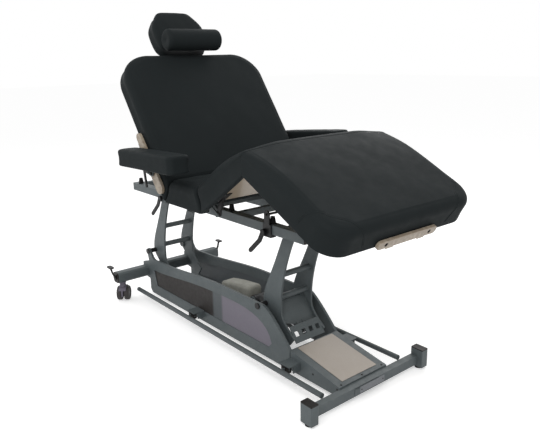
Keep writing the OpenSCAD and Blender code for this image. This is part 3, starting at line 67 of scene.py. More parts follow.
def addCamera(spec):
    # azimuth, pitch and roll in degrees; the line of sight is (-sin a cos e, cos a cos e, -sin e)
    a, e, r = (math.radians(spec[k]) for k in ("azimuth", "pitch", "roll"))
    forward = Vector((-math.sin(a) * math.cos(e), math.cos(a) * math.cos(e), -math.sin(e)))
    right = Vector((math.cos(a), math.sin(a), 0))
    up = right.cross(forward)
    # roll turns the picture's axes about the line of sight
    rightR = math.cos(r) * right + math.sin(r) * up
    upR = -math.sin(r) * right + math.cos(r) * up
    data = bpy.data.cameras.new("camera")
    data.lens = spec["lens"]
    data.sensor_width = 36
    data.clip_end = 50
    cam = bpy.data.objects.new("camera", data)
    turn = Matrix((rightR, upR, -forward)).transposed().to_4x4()
    cam.matrix_world = Matrix.Translation(spec["place"]) @ turn
    scene.collection.objects.link(cam)
    scene.camera = cam


addCamera(cameraSpec)


class Sock:
    # a shader socket that sums, multiplies and compares like a number
    def __init__(self, shader, socket):
        self.shader, self.socket = shader, socket

    def _math(self, op, other):
        return self.shader.node("ShaderNodeMath", {0: self, 1: other}, operation=op)

    def __add__(self, o):
        return self._math("ADD", o)

    def __mul__(self, o):
        return self._math("MULTIPLY", o)

    def __gt__(self, o):
        return self._math("GREATER_THAN", o)

    def most(self, o):
        return self._math("MAXIMUM", o)


class Shader:
    # a material whose nodes are added one call at a time
    def __init__(self, name):
        self.material = bpy.data.materials.new(name)
        self.material.use_nodes = True
        self.tree = self.material.node_tree
        self.tree.nodes.clear()
        self.out = self.tree.nodes.new("ShaderNodeOutputMaterial")

    def node(self, kind, inputs=None, out=0, **settings):
        # a node whose inputs are linked when they are sockets and set when they are values
        n = self.tree.nodes.new(kind)
        for key, value in settings.items():
            setattr(n, key, value)
        for key, value in (inputs or {}).items():
            if isinstance(value, Sock):
                self.tree.links.new(value.socket, n.inputs[key])
            else:
                n.inputs[key].default_value = value
        return Sock(self, n.outputs[out])

    def place(self):
        # position in the object's own metres
        return self.node("ShaderNodeTexCoord", out="Object")

    def noise(self, scale, detail=3, rough=0.55, place=None):
        return self.node("ShaderNodeTexNoise", {"Vector": place or self.place(), "Scale": scale,
                                                "Detail": detail, "Roughness": rough}, out="Fac")

    def cells(self, scale):
        # distance to the nearest point of a scattered set
        return self.node("ShaderNodeTexVoronoi", {"Vector": self.place(), "Scale": scale}, out="Distance")

    def ramp(self, factor, stops):
        # colours between stops of (place, colour)
        n = self.tree.nodes.new("ShaderNodeValToRGB")
        self.tree.links.new(factor.socket, n.inputs[0])
        while len(n.color_ramp.elements) < len(stops):
            n.color_ramp.elements.new(0.5)
        for element, (at, colour) in zip(n.color_ramp.elements, stops):
            element.position = at
            element.color = (*colour, 1)
        return Sock(self, n.outputs[0])

    def spread(self, factor, low, high):
        # noise stays mostly between 0.3 and 0.7, so those two go to low and high
        return self.node("ShaderNodeMapRange", {"Value": factor, "From Min": 0.3, "From Max": 0.7,
                                                "To Min": low, "To Max": high})

    def bump(self, height, distance, strength):
        return self.node("ShaderNodeBump", {"Height": height, "Distance": distance, "Strength": strength})

    def principled(self, **inputs):
        # closes the material with its surface and hands the material back
        names = {"colour": "Base Color", "rough": "Roughness", "metal": "Metallic", "coat": "Coat Weight",
                 "normal": "Normal", "specular": "Specular IOR Level"}
        ready = {}
        for key, value in inputs.items():
            plainColour = key == "colour" and not isinstance(value, Sock)
            ready[names[key]] = (*value, 1) if plainColour else value
        shader = self.node("ShaderNodeBsdfPrincipled", ready)
        self.tree.links.new(shader.socket, self.out.inputs[0])
        return self.material


def srgb(r, g, b):
    # a screen tone made linear: ((c / 255 + 0.055) / 1.055) ^ 2.4, or c / 255 / 12.92 when it is dark
    return tuple(((c / 255 + 0.055) / 1.055) ** 2.4 if c > 10 else c / 255 / 12.92 for c in (r, g, b))


def shade(colour, k):
    # the colour made k times as bright
    return tuple(c * k for c in colour)


vinylSpec = {"colour": srgb(35, 39, 40), "grain": 900, "rough": (0.5, 0.6), "grainDepth": 0.0001,
             "grainStrength": 0.55, "mottle": 0.04, "specular": 0.03}


def vinylMaterial(name, spec):
    # fine leather grain from cells and noise, and a faint cloud in the tone
    s = Shader(name)
    grain = s.cells(spec["grain"]) + s.noise(spec["grain"] * 0.5, 2) * 0.6
    tone = s.ramp(s.noise(6, 3), [(0.3, shade(spec["colour"], 1 - spec["mottle"])),
                                  (0.7, shade(spec["colour"], 1 + spec["mottle"]))])
    return s.principled(colour=tone, specular=spec["specular"],
                        rough=s.spread(s.noise(30, 4), *spec["rough"]),
                        normal=s.bump(grain, spec["grainDepth"], spec["grainStrength"]))


def paintMaterial(name, colour, rough=(0.42, 0.58), mottle=0.12, grain=0.00008):
    # powder paint: half cloud and half speck in the tone, and a fine orange-peel bump
    s = Shader(name)
    speck = s.noise(260, 3, 0.6)
    cloud = s.noise(9, 4)
    mix = cloud * 0.5 + speck * 0.5
    tone = s.ramp(mix, [(0.35, shade(colour, 1 - mottle)), (0.65, shade(colour, 1 + mottle))])
    return s.principled(colour=tone, rough=s.spread(s.noise(40, 3), *rough),
                        normal=s.bump(s.noise(1100, 2), grain, 0.6), specular=0.3)


def plasticMaterial(name, colour, rough=(0.4, 0.55), specular=0.2):
    # moulded plastic or rubber with a faint cloud and a very fine grain
    s = Shader(name)
    tone = s.ramp(s.noise(40, 4), [(0.3, shade(colour, 0.88)), (0.7, shade(colour, 1.12))])
    return s.principled(colour=tone, rough=s.spread(s.noise(60, 3), *rough),
                        normal=s.bump(s.noise(1600, 2), 0.00005, 0.5), specular=specular)


def metalMaterial(name, colour, rough=(0.2, 0.34)):
    # bright steel with uneven gloss
    s = Shader(name)
    tone = s.ramp(s.noise(60, 3), [(0.3, shade(colour, 0.92)), (0.7, shade(colour, 1.06))])
    return s.principled(colour=tone, metal=1.0, rough=s.spread(s.noise(90, 4), *rough),
                        normal=s.bump(s.noise(900, 2), 0.00003, 0.5))


def woodMaterial(name, light, dark, along=(1, 0, 0)):
    # bands and fibres between two tones, drawn out along the grain, whose axis is scaled 0.12 of the others
    s = Shader(name)
    stretch = tuple(30 * (0.12 if a else 1) for a in along)
    place = s.node("ShaderNodeVectorMath", {0: s.place(), 1: stretch}, operation="MULTIPLY")
    rings = s.node("ShaderNodeTexWave", {"Vector": place, "Scale": 1.4, "Distortion": 5.0, "Detail": 3.0,
                                         "Detail Scale": 1.6}, out="Fac")
    fibre = s.noise(9, 5, 0.6, place)
    tone = s.ramp(rings * 0.45 + fibre * 0.55, [(0.25, dark), (0.75, light)])
    return s.principled(colour=tone, rough=s.spread(fibre, 0.34, 0.5), coat=0.15,
                        normal=s.bump(fibre, 0.0001, 0.6))


windowSpec = {
    "dark": srgb(44, 41, 40),
    "bare": srgb(116, 112, 122),
    "steel": srgb(84, 89, 92),
    "reach": 0.5,
    "darkTo": 0.325,
    "steelFrom": 0.34,
    "steelTo": 0.40,
    "bareFrom": 0.415,
}


def windowMaterial(spec):
    # near panel: dark towards the head, steel grey in the middle, bare sheet at the foot; far panel: painted
    s = Shader("windowSheet")
    along = s.node("ShaderNodeSeparateXYZ", {0: s.place()}, out=0)
    across = s.node("ShaderNodeSeparateXYZ", {0: s.place()}, out=1)
    share = s.node("ShaderNodeMapRange", {"Value": along, "From Min": -spec["reach"],
                                          "From Max": spec["reach"]})
    sheet = s.ramp(share, [(0.0, spec["dark"]), (spec["darkTo"], spec["dark"]),
                           (spec["steelFrom"], spec["steel"]), (spec["steelTo"], spec["steel"]),
                           (spec["bareFrom"], spec["bare"])])
    tone = s.node("ShaderNodeMix", {0: across > 0, 6: sheet, 7: (*spec["steel"], 1)}, out=2,
                  data_type="RGBA")
    return s.principled(colour=tone, rough=s.spread(s.noise(60, 3), 0.4, 0.55), specular=0.2,
                        normal=s.bump(s.noise(1600, 2), 0.00005, 0.5))


floorSpec = {"half": 30, "colour": (0.86, 0.86, 0.86), "lift": 0.45}


def floorMaterial(spec):
    # plain paper: what the camera sees of it is lifted to white, and the shadow on it stays
    s = Shader("floorPaper")
    paper = s.node("ShaderNodeBsdfDiffuse", {"Color": (*spec["colour"], 1)})
    camera = s.node("ShaderNodeLightPath", out="Is Camera Ray")
    seen = camera.most(s.node("ShaderNodeLightPath", out="Is Glossy Ray"))
    glow = s.node("ShaderNodeEmission", {"Color": (1, 1, 1, 1), "Strength": seen * spec["lift"]})
    both = s.node("ShaderNodeAddShader", {0: paper, 1: glow})
    s.tree.links.new(both.socket, s.out.inputs[0])
    return s.material


materials = {
    "vinyl": vinylMaterial("vinyl", vinylSpec),
    "frame_paint": paintMaterial("framePaint", srgb(84, 91, 93)),
    "bar_steel": paintMaterial("barPaint", srgb(78, 84, 86)),
    "cap_plastic": plasticMaterial("capPlastic", srgb(24, 21, 20)),
    "pad_rubber": plasticMaterial("padRubber", srgb(22, 22, 23), (0.6, 0.75), specular=0.1),
    "cover_plate": paintMaterial("coverPlate", srgb(160, 151, 141), (0.34, 0.46), 0.05),
    "bare_plate": paintMaterial("barePlate", srgb(112, 115, 119), (0.4, 0.5), 0.06),
    "window_sheet": windowMaterial(windowSpec),
    "black_steel": paintMaterial("blackSteel", srgb(27, 27, 28), (0.4, 0.5)),
    "caster_plastic": plasticMaterial("casterPlastic", srgb(104, 100, 112)),
    "caster_tread": plasticMaterial("casterTread", srgb(66, 64, 64), (0.5, 0.65)),
    "motor_shell": plasticMaterial("motorShell", srgb(146, 146, 138), (0.5, 0.62)),
    "ram_steel": metalMaterial("ramSteel", (0.55, 0.56, 0.58)),
    "ram_tube": paintMaterial("ramTube", srgb(36, 37, 38)),
    "board_wood": woodMaterial("boardWood", srgb(172, 158, 138), srgb(146, 130, 110), (0, 1, 0)),
    "slat_wood": woodMaterial("slatWood", srgb(168, 156, 138), srgb(142, 127, 110)),
    "lever_plastic": plasticMaterial("leverPlastic", srgb(20, 20, 21), (0.4, 0.5)),
    "rod_steel": metalMaterial("rodSteel", (0.62, 0.62, 0.64), (0.08, 0.18)),
}
print("materials", len(materials))

# Two pieces share the frame's slot and are black in the photo
blackPieces = ("thigh_brackets", "thigh_carriage")

for part in frame["record"]["subparts"]:
    o = nodes[part["node"]]
    o.data.materials.clear()
    look = "black_steel" if part["node"] in blackPieces else part["material_slot"]
    o.data.materials.append(materials[look])


def sectionFrame(x, z, turn, flip=1):
    # origin, U along the section, W up from it; Y stays the width of the table
    c, s = math.cos(math.radians(turn)), math.sin(math.radians(turn))
    return {"o": np.array([x + footFace, 0, z]), "u": np.array([flip * c, 0, s]),
            "w": np.array([-flip * s, 0, c]), "flip": flip}


backRaise, thighRaise, legDroop = 54.7, 34.3, 27.5
backSpare, thighSpare = 6, 8
thighL, legTop = 0.378, 0.072
backFold, thighFold = (-0.876, 0.678), (-0.58, 0.678)
backLean = math.tan(math.radians((backRaise + backSpare) / 2))
thighLean = math.tan(math.radians((thighRaise + thighSpare) / 2))
kneeLean = math.tan(math.radians((thighRaise + legDroop) / 2))
seatRun = thighFold[0] - backFold[0]
inSeat = sectionFrame(*backFold, 0)
inBack = sectionFrame(*backFold, backRaise, -1)
inThigh = sectionFrame(*thighFold, thighRaise)
kneeAt = inThigh["o"] + thighL * inThigh["u"] + legTop * inThigh["w"]
inLeg = sectionFrame(kneeAt[0] - footFace, kneeAt[2], -legDroop)


def placed(section, points):
    # P = O + u U + y Y + w W
    p = np.asarray(points, float)
    return section["o"] + p[:, :1] * section["u"] + p[:, 1:2] * np.array([0, 1, 0]) + p[:, 2:] * section["w"]


def makeMesh(name, points, faces, slotName, smooth=True, flip=False):
    # an object from points and faces; flip turns every face over
    mesh = bpy.data.meshes.new(name)
    if flip:
        faces = [f[::-1] for f in faces]
    mesh.from_pydata(np.asarray(points, float).tolist(), [], faces)
    mesh.validate()
    mesh.polygons.foreach_set("use_smooth", [smooth] * len(mesh.polygons))
    o = bpy.data.objects.new(name, mesh)
    scene.collection.objects.link(o)
    mesh.materials.append(materials[slotName])
    return o


def ringFaces(count, n):
    # quads between ring k and ring k + 1, and a fan to a middle point at each end
    i = np.arange(n)
    j = (i + 1) % n
    k = np.arange(count - 1)[:, None] * n
    quads = np.stack([k + i, k + j, k + n + j, k + n + i], 2).reshape(-1, 4)
    top = (count - 1) * n
    low = np.stack([np.full(n, count * n), j, i], 1)
    high = np.stack([np.full(n, count * n + 1), top + i, top + j], 1)
    return quads.tolist() + low.tolist() + high.tolist()


def roundedOutline(u0, u1, half, r0, r1, step=0.006, pull=0.0):
    # corner arcs of radius r0 at u0 and r1 at u1, joined by straight runs, spaced about one step apart;
    # pull draws each side in by pull * (1 - t^2) between its corners
    def line(a, b):
        a, b = np.array(a), np.array(b)
        n = max(2, int(np.hypot(*(b - a)) / step))
        return a + (b - a) * np.linspace(0, 1, n, endpoint=False)[:, None]

    def arc(cx, cy, r, a0, a1):
        n = max(5, int(abs(a1 - a0) * math.pi / 180 * r / step))
        t = np.radians(np.linspace(a0, a1, n, endpoint=False))
        return np.stack([cx + r * np.cos(t), cy + r * np.sin(t)], 1)

    p = np.vstack([arc(u0 + r0, -half + r0, r0, 180, 270), line((u0 + r0, -half), (u1 - r1, -half)),
                   arc(u1 - r1, -half + r1, r1, 270, 360), line((u1, -half + r1), (u1, half - r1)),
                   arc(u1 - r1, half - r1, r1, 0, 90), line((u1 - r1, half), (u0 + r0, half)),
                   arc(u0 + r0, half - r0, r0, 90, 180), line((u0, half - r0), (u0, -half + r0))])
    mid, long = (u0 + u1) / 2, (u1 - u0) / 2
    t = np.clip((p[:, 0] - mid) / long, -1, 1)
    p[:, 1] *= 1 - pull * (1 - t ** 2) / half
    s = np.clip(p[:, 1] / half, -1, 1)
    p[:, 0] = mid + (p[:, 0] - mid) * (1 - pull * (1 - s ** 2) / long)
    return p


def wobble(p, size, amount):
    # three crossed sines, a soft unevenness of stuffed foam
    k = 2 * math.pi / size
    return amount * (np.sin(k * p[:, 0] + 1.3) * np.cos(k * 0.8 * p[:, 1] + 0.4) +
                     0.5 * np.sin(k * 1.9 * p[:, 1] + 2.1 * np.sin(k * 0.7 * p[:, 0])) +
                     0.35 * np.cos(k * 2.7 * p[:, 2] + k * 1.3 * p[:, 0])) / 1.85


def edgeLevels(spec):
    # rows of (inset of the side, share of the edge's inset, height, ring scale), from the pocket to the crest
    w0, w1, tall, foot = spec["low"], spec["high"], spec["tall"], spec["foot"]
    top, lip = w1 - tall, spec.get("lip")
    if spec.get("pocket"):
        rows = [(lip, 0, w0 + spec["pocket"], 1), (lip, 0, w0 + 0.001, 1), (lip - 0.004, 0, w0, 1)]
    else:
        rows = [(foot, 0, w0, keep) for keep in (0.05, 0.5, 0.9)]
    # lower edge: a quarter circle of radius foot
    for a in np.radians(np.linspace(0, 90, 6)):
        rows.append((foot * (1 - math.sin(a)), 0, w0 + foot * (1 - math.cos(a)), 1))
    # side: drawn in by draw * sin(pi t)
    for t in np.linspace(0.06, 0.94, 13):
        rows.append((spec["draw"] * math.sin(math.pi * t), 0, w0 + foot + (top - w0 - foot) * t, 1))
    # upper edge: a quarter of a superellipse, |x|^n + |y|^n = 1
    for a in np.radians(np.linspace(0, 90, 17)):
        across, up = (v ** (2 / spec["power"]) for v in (math.cos(a), math.sin(a)))
        rows.append((0, 1 - across, top + tall * up, 1))
    # crest: ever smaller copies of the last ring
    for keep in np.concatenate([np.linspace(0.985, 0.8, 10), np.linspace(0.77, 0.03, 23)]):
        rows.append((0, 1, w1, keep))
    return rows


def crownShare(t):
    # 1 in the middle and 0 at the edge: (1 - t^2) ^ 0.8
    return np.clip(1 - t ** 2, 0, 1) ** 0.8


topHalf = 0.384
kneeRise = 0.052
kneeSpec = {"all": 0.015, "drop": 0.014, "from": 0.19, "reach": 0.22}


def kneeSag(y, away):
    # thinner padding near the knee: all + drop * (3 t^2 - 2 t^3), with t from 0 at from to 1 at the side,
    # times (1 - away / reach)^2, which is 0 beyond reach from the knee
    t = np.clip((np.abs(y) - kneeSpec["from"]) / (topHalf - kneeSpec["from"]), 0, 1)
    fade = np.clip(1 - away / kneeSpec["reach"], 0, 1) ** 2
    return (kneeSpec["all"] + kneeSpec["drop"] * t ** 2 * (3 - 2 * t)) * fade


def cushion(name, section, outline, spec):
    # one ring per edge row, the outline drawn in by the row's insets; inner rings rise by
    # crown * crownShare(y / half) * crownShare(x / long). shifts lean the ends to meet a neighbour at a fold,
    # and the crown doesn't fall off towards an end that flows into the knee
    w0, w1 = spec["low"], spec["high"]
    shift0, shift1 = spec.get("shifts", (lean(0), lean(0)))
    end0, end1, side = spec["edges"]
    flow0, flow1 = spec.get("flow", (False, False))
    u = outline[:, 0]
    u0, u1, half = u.min(), u.max(), np.abs(outline[:, 1]).max()
    mid, long = (u0 + u1) / 2, (u1 - u0) / 2
    top = w1 - spec["tall"]
    rel = np.where(u < mid, end0, end1)
    bare = np.where(u < mid, flow0, flow1)
    rings = []
    for inset, roll, w, keep in edgeLevels(spec):
        x = mid + (u - mid) * (1 - (inset * (1 - bare) + roll * rel) / long) * keep
        y = outline[:, 1] * (1 - (inset + roll * side) / half) * keep
        along = (x - u0) / (u1 - u0)
        tx = np.where(x < mid, 0 if flow0 else 1, 0 if flow1 else 1) * (x - mid) / long
        z = np.full_like(x, w)
        if spec.get("skirt") and w < top:
            # between the side skirts the cushion ends stop at the board
            inner = np.clip((spec["skirtHalf"] - np.abs(y)) / 0.006, 0, 1)
            z = z + spec["skirt"] * inner * (top - w) / (top - w0)
        if keep < 1 or roll > 0.99:
            z = z + spec["crown"] * crownShare(y / half) * crownShare(tx)
        if flow0 or flow1:
            raised = np.clip((z - (w1 - kneeRise)) / kneeRise, 0, None)
            z = z - kneeSag(y, np.abs(x - (u0 if flow0 else u1))) * raised
        rings.append(np.stack([x + shift0(w) * (1 - along) + shift1(w) * along, y, z], 1))
    p = np.concatenate(rings + [rings[0].mean(0)[None], rings[-1].mean(0)[None]])
    upper = np.clip((p[:, 2] - w0) / (w1 - w0), 0, 1) ** 2
    for flow, edge in ((flow0, u0), (flow1, u1)):
        if flow:
            upper = upper * np.clip(np.abs(p[:, 0] - edge) / 0.09, 0, 1)
    p[:, 2] += wobble(p, spec.get("wave", 0.24), spec.get("waveDepth", 0.0011)) * upper
    faces = ringFaces(len(rings), len(outline))
    return makeMesh(name, placed(section, p), faces, "vinyl", flip=section["flip"] < 0)


def lean(k):
    # an end that slopes: k times the height
    return lambda w: w * k


gap = 0.0005
# lip and pocket: rim round the board and its depth; foot: radius of the lower edge; tall and power: height and
# roundness of the upper edge; draw: how far the side is drawn in; edges: width of the upper edge at the two
# ends and along the sides; skirt: how much higher the ends stop than the side skirts
common = {"lip": 0.021, "pocket": 0.015, "foot": 0.006, "tall": 0.036, "power": 2.25, "draw": 0.003}
skirted = dict(common, skirt=0.028, skirtHalf=0.349, pocket=0.043)
seatSpec = dict(skirted, low=0.014, high=0.122, crown=0.005, edges=(0.02, 0.02, 0.034),
                shifts=(lean(backLean), lean(-thighLean)))
backSpec = dict(common, low=0.014, high=0.102, crown=0.010, edges=(0.02, 0.03, 0.03), tall=0.032,
                shifts=(lean(backLean), lean(0)))
thighSpec = dict(skirted, low=0.014, high=legTop + kneeRise, crown=0.007, edges=(0.02, 0, 0.034),
                 flow=(False, True),
                 shifts=(lean(thighLean), lambda w: -max(0, legTop - w) * kneeLean - gap))
legSpec = dict(common, low=-0.058, high=kneeRise, crown=0.007, edges=(0, 0.036, 0.034), draw=0.001,
               flow=(True, False),
               shifts=(lambda w: max(0, -w) * kneeLean + gap, lean(0)))


def addTop(name, node, body, section, outline, spec):
    # a cushion that takes the place of a node and rides on a body
    o = cushion(name, section, outline, spec)
    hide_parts(node)
    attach(o, body)
    return o


addTop("seat_pad", "seat_cushion", "upper", inSeat,
       roundedOutline(gap, seatRun - gap, topHalf, 0.012, 0.012, pull=0.002), seatSpec)
addTop("back_pad", "back_cushion", "back", inBack,
       roundedOutline(gap, 0.708, topHalf, 0.012, 0.15, pull=0.003), backSpec)
addTop("thigh_pad", "thigh_cushion", "thigh", inThigh,
       roundedOutline(gap, thighL, topHalf, 0.012, 0.0012, pull=0.001), thighSpec)
legPad = addTop("leg_pad", "leg_cushion", "leg", inLeg,
                roundedOutline(0, 0.502, topHalf, 0.0012, 0.095, pull=0.001), legSpec)


def kneeCover(spec, steps=22):
    # the end profile of the leg cushion above the knee axis, turned about that axis from thigh to leg:
    # a point at height h over the axis goes to (-h sin b, y, h cos b), with b falling from the spread to 0
    rows = [(inset, roll, w) for inset, roll, w, keep in edgeLevels(spec) if w >= 0 and keep == 1]
    inset, roll, w = np.array(rows).T
    y = topHalf * (1 - (inset + roll * spec["edges"][2]) / topHalf)
    h = w + np.where(roll > 0.99, spec["crown"] * crownShare(y / topHalf), 0)
    crest = np.linspace(y[-1], 0, 40)[1:]
    y = np.concatenate([y, crest])
    h = np.concatenate([h, spec["high"] + spec["crown"] * crownShare(crest / topHalf)])
    h = h - kneeSag(y, 0) * h / kneeRise
    # the other side is the mirror image, and both ends go down to the axis
    y = np.concatenate([-y, y[-2::-1]])
    h = np.concatenate([h, h[-2::-1]])
    y = np.concatenate([y[:1], y, y[-1:]])
    h = np.concatenate([[0.0005], h, [0.0005]])
    b = math.radians(thighRaise + legDroop) * np.linspace(1, 0, steps + 1)[:, None]
    points = np.stack(np.broadcast_arrays(-h * np.sin(b), y, h * np.cos(b)), 2).reshape(-1, 3)
    n = len(y)
    i = np.arange(n - 1)
    k = np.arange(steps)[:, None] * n
    faces = np.stack([k + i, k + n + i, k + n + i + 1, k + i + 1], 2).reshape(-1, 4).tolist()
    o = makeMesh("knee_cover", placed(inLeg, points), faces, "vinyl")
    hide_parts("knee_roll")
    tuple(kneeAt + 0.045 * inThigh["w"])
    tuple(kneeAt + 0.045 * inLeg["w"])
    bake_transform(o)


kneeCover(legSpec)
print("top sections")

headSpec = {"low": 0.02, "high": 0.098, "foot": 0.012, "tall": 0.022, "power": 2.2, "draw": 0.003,
            "crown": 0.005, "edges": (0.022, 0.022, 0.024), "wave": 0.12, "waveDepth": 0.0008}


def mirroredOutline(side, step=0.006):
    # side runs from the neck to the crown at y > 0. The outline is that side and its mirror image, respaced
    # one step apart and smoothed six times by half a point and a quarter of each neighbour
    pts = np.array([(u, -y) for u, y in side] + [(u, y) for u, y in reversed(side)])
    closed = np.vstack([pts, pts[:1]])
    length = np.concatenate([[0], np.cumsum(np.hypot(*np.diff(closed, axis=0).T))])
    at = np.arange(0, length[-1], step)
    out = np.stack([np.interp(at, length, closed[:, 0]), np.interp(at, length, closed[:, 1])], 1)
    for _ in range(6):
        out = 0.5 * out + 0.25 * (np.roll(out, 1, 0) + np.roll(out, -1, 0))
    return out


headSide = [(0.737, 0.01), (0.737, 0.098), (0.742, 0.124), (0.762, 0.138), (0.79, 0.142), (0.83, 0.143),
            (0.868, 0.140), (0.895, 0.128), (0.925, 0.106), (0.946, 0.090), (0.953, 0.078), (0.954, 0.02)]
headPad = cushion("headrest_cushion", inBack, mirroredOutline(headSide), headSpec)
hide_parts("headrest_pad")
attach(headPad, "headrest")

bolsterSpec = {
    "u": 0.742,
    "w": 0.1525,
    "r": 0.0505,
    "half": 0.146,
    "round": 0.018,
    "dimple": 0.004,
    "swell": 0.012,
}


def bolster(spec, n=72):
    # rings about Y: a cylinder of radius r whose ends round off and gather to a shallow dimple; the radius
    # shrinks towards the ends by swell * (1 - cos(pi y / (2 half)))
    r, half, edge, dimple = spec["r"], spec["half"], spec["round"], spec["dimple"]
    t = np.linspace(0, 1, 12)
    a = np.radians(np.linspace(0, 90, 8)[1:])
    barrel = np.linspace(-half + edge, 0, 20)[1:]
    radius = np.concatenate([0.001 + (r - edge) * t, r - edge * (1 - np.sin(a)), np.full_like(barrel, r)])
    along = np.concatenate([-half + dimple * (1 - t) ** 2, -half + edge * (1 - np.cos(a)), barrel])
    radius = np.concatenate([radius, radius[-2::-1]])
    along = np.concatenate([along, -along[-2::-1]])[:, None]
    reach = radius[:, None] * (1 + spec["swell"] * (np.cos(math.pi * along / (2 * half)) - 1))
    turn = np.arange(n) * 2 * math.pi / n
    rings = np.stack(np.broadcast_arrays(spec["u"] + reach * np.cos(turn), along,
                                         spec["w"] + reach * np.sin(turn)), 2)
    ends = [(spec["u"], -half + dimple, spec["w"]), (spec["u"], half - dimple, spec["w"])]
    points = np.vstack([rings.reshape(-1, 3), ends])
    return makeMesh("neck_roll", placed(inBack, points), ringFaces(len(radius), n), "vinyl")


neckRoll = bolster(bolsterSpec)
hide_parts("neck_bolster")
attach(neckRoll, "headrest")

armAxis = inBack["o"] + 0.146 * inBack["u"] + 0.036 * inBack["w"]
armHalfPitch = 0.449
armSpec = {"low": 0.03, "high": 0.102, "foot": 0.008, "tall": 0.015, "power": 2.5, "draw": 0.0015,
           "crown": 0.003, "edges": (0.013, 0.013, 0.013), "wave": 0.1, "waveDepth": 0.0006}
for side, sign, tilt in (("near", -1, 1.9), ("far", 1, 4.9)):
    inArm = sectionFrame(armAxis[0] - footFace, armAxis[2], tilt)
    inArm["o"] = inArm["o"] + np.array([0, sign * armHalfPitch, 0])
    outline = roundedOutline(-0.117, 0.326, 0.05, 0.022, 0.024, pull=0.001)
    armPad = cushion(f"armrest_cushion_{side}", inArm, outline, armSpec)
    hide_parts(f"armrest_{side}")
    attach(armPad, f"armrest_{side}")
print("headrest and armrests")


def surfaceOf(o):
    # a search tree of the object's faces
    return BVHTree.FromPolygons([o.matrix_world @ v.co for v in o.data.vertices],
                                [tuple(f.vertices) for f in o.data.polygons])


def smoothPath(points, count):
    # Catmull-Rom curve: between b and c a cubic in f that also leans on their neighbours a and d
    p = np.array(points, float)
    p = np.vstack([2 * p[0] - p[1], p, 2 * p[-1] - p[-2]])
    t = np.linspace(0, len(points) - 1 - 1e-9, count)
    k = t.astype(int)
    f = (t - k)[:, None]
    a, b, c, d = (p[k + step] for step in range(4))
    return 0.5 * (2 * b + (c - a) * f + (2 * a - 5 * b + 4 * c - d) * f ** 2 +
                  (3 * b - a - 3 * c + d) * f ** 3)


def unit(v):
    # each row divided by its own length
    return v / np.linalg.norm(v, axis=1)[:, None]


def tubeMesh(name, path, r, slotName, sides=8):
    # a ring of radius r about each point of the path, square to the way between its neighbours
    path = np.array(path)
    way = unit(np.vstack([path[1:], path[-1:]]) - np.vstack([path[:1], path[:-1]]))
    a = unit(np.cross(way, (0.3, 0.2, 1.0)))
    b = np.cross(way, a)
    t = (np.arange(sides) * 2 * math.pi / sides)[:, None]
    rings = path[:, None] + r * (np.cos(t) * a[:, None] + np.sin(t) * b[:, None])
    points = np.vstack([rings.reshape(-1, 3), path[:1], path[-1:]])
    return makeMesh(name, points, ringFaces(len(path), sides), slotName)


def seam(name, body, tree, section, points, r=0.0013, sunk=0.0003, count=60):
    # a sewn line laid on the nearest points of the cushion, sunk a little into it
    path = []
    for q in placed(section, smoothPath(points, count)):
        spot, normal, _, _ = tree.find_nearest(Vector(q))
        path.append(np.array(spot - normal * sunk))
    o = tubeMesh(name, path, r, "vinyl")
    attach(o, body)


def mirrorY(points):
    # the same points on the far side
    return [(u, -y, w) for u, y, w in points]


cornerSeam = [(0.341, -0.384, -0.024), (0.350, -0.384, 0.005), (0.362, -0.378, 0.028), (0.378, -0.365, 0.042),
              (0.398, -0.345, 0.049), (0.413, -0.339, 0.052), (0.456, -0.287, 0.052), (0.490, -0.268, 0.050),
              (0.499, -0.255, 0.033), (0.502, -0.240, 0.0), (0.502, -0.225, -0.036)]
cornerInner = [(u - 0.006, y + 0.006, w) for u, y, w in cornerSeam]
legTree = surfaceOf(legPad)
for side, turnOver in (("near", list), ("far", mirrorY)):
    seam(f"leg_seam_{side}", "leg", legTree, inLeg, turnOver(cornerSeam))
    seam(f"leg_stitch_{side}", "leg", legTree, inLeg, turnOver(cornerInner), 0.0008, 0.0002)
print("seams")


def turned(name, profile, at, axis, slotName, body, n=24):
    # (radius, height) profile revolved about an axis that stands on the surface:
    # at + height * way + radius * (cos t a + sin t b)
    way = Vector(axis).normalized()
    a = way.orthogonal().normalized()
    b = way.cross(a)
    radius, height = np.array(profile, float).T
    t = (np.arange(n) * 2 * math.pi / n)[:, None]
    spokes = np.cos(t) * np.array(a) + np.sin(t) * np.array(b)
    middles = np.array(at) + height[:, None] * np.array(way)
    rings = middles[:, None] + radius[:, None, None] * spokes
    points = np.vstack([rings.reshape(-1, 3), middles[:1], middles[-1:]])
    o = makeMesh(name, points, ringFaces(len(profile), n), slotName)
    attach(o, body)


def screwProfile(r, h):
    # low domed head with a round socket in its middle, and a rim that goes 1 mm into the surface
    dome = [(r * math.cos(a), h * math.sin(a)) for a in np.radians((0, 20, 40, 60, 72))]
    return [(r * 0.97, -0.001)] + dome + [(r * 0.28, h), (r * 0.24, h * 0.35), (r * 0.05, h * 0.3)]


def screwOn(name, node, start, way, r):
    # start has X from the foot face; the screw sits where the line from there along way meets the node
    origin = Vector((start[0] + footFace, start[1], start[2]))
    spot, normal, _, _ = surfaceOf(nodes[node]).ray_cast(origin, Vector(way))
    if spot is None:
        print("no surface for", name)
        return
    if normal.dot(Vector(way)) > 0:
        normal = -normal
    turned(name, screwProfile(r, r * 0.5), spot, normal, "black_steel", "base")


screwR, outside, above = 0.0045, 0.2, 0.3
traySpots = [((x, -way * outside, z), (0, way, 0)) for way in (1, -1)
             for x, z in ((-0.203, 0.060), (-0.069, 0.052))]
traySpots += [((x, y, above), (0, 0, -1))
              for x, y in ((-0.066, -0.118), (-0.066, 0.118), (-0.066, 0.0), (-0.335, 0.0))]
for k, (start, way) in enumerate(traySpots):
    screwOn(f"tray_screw_{k + 1}", "base_tray", start, way, screwR)


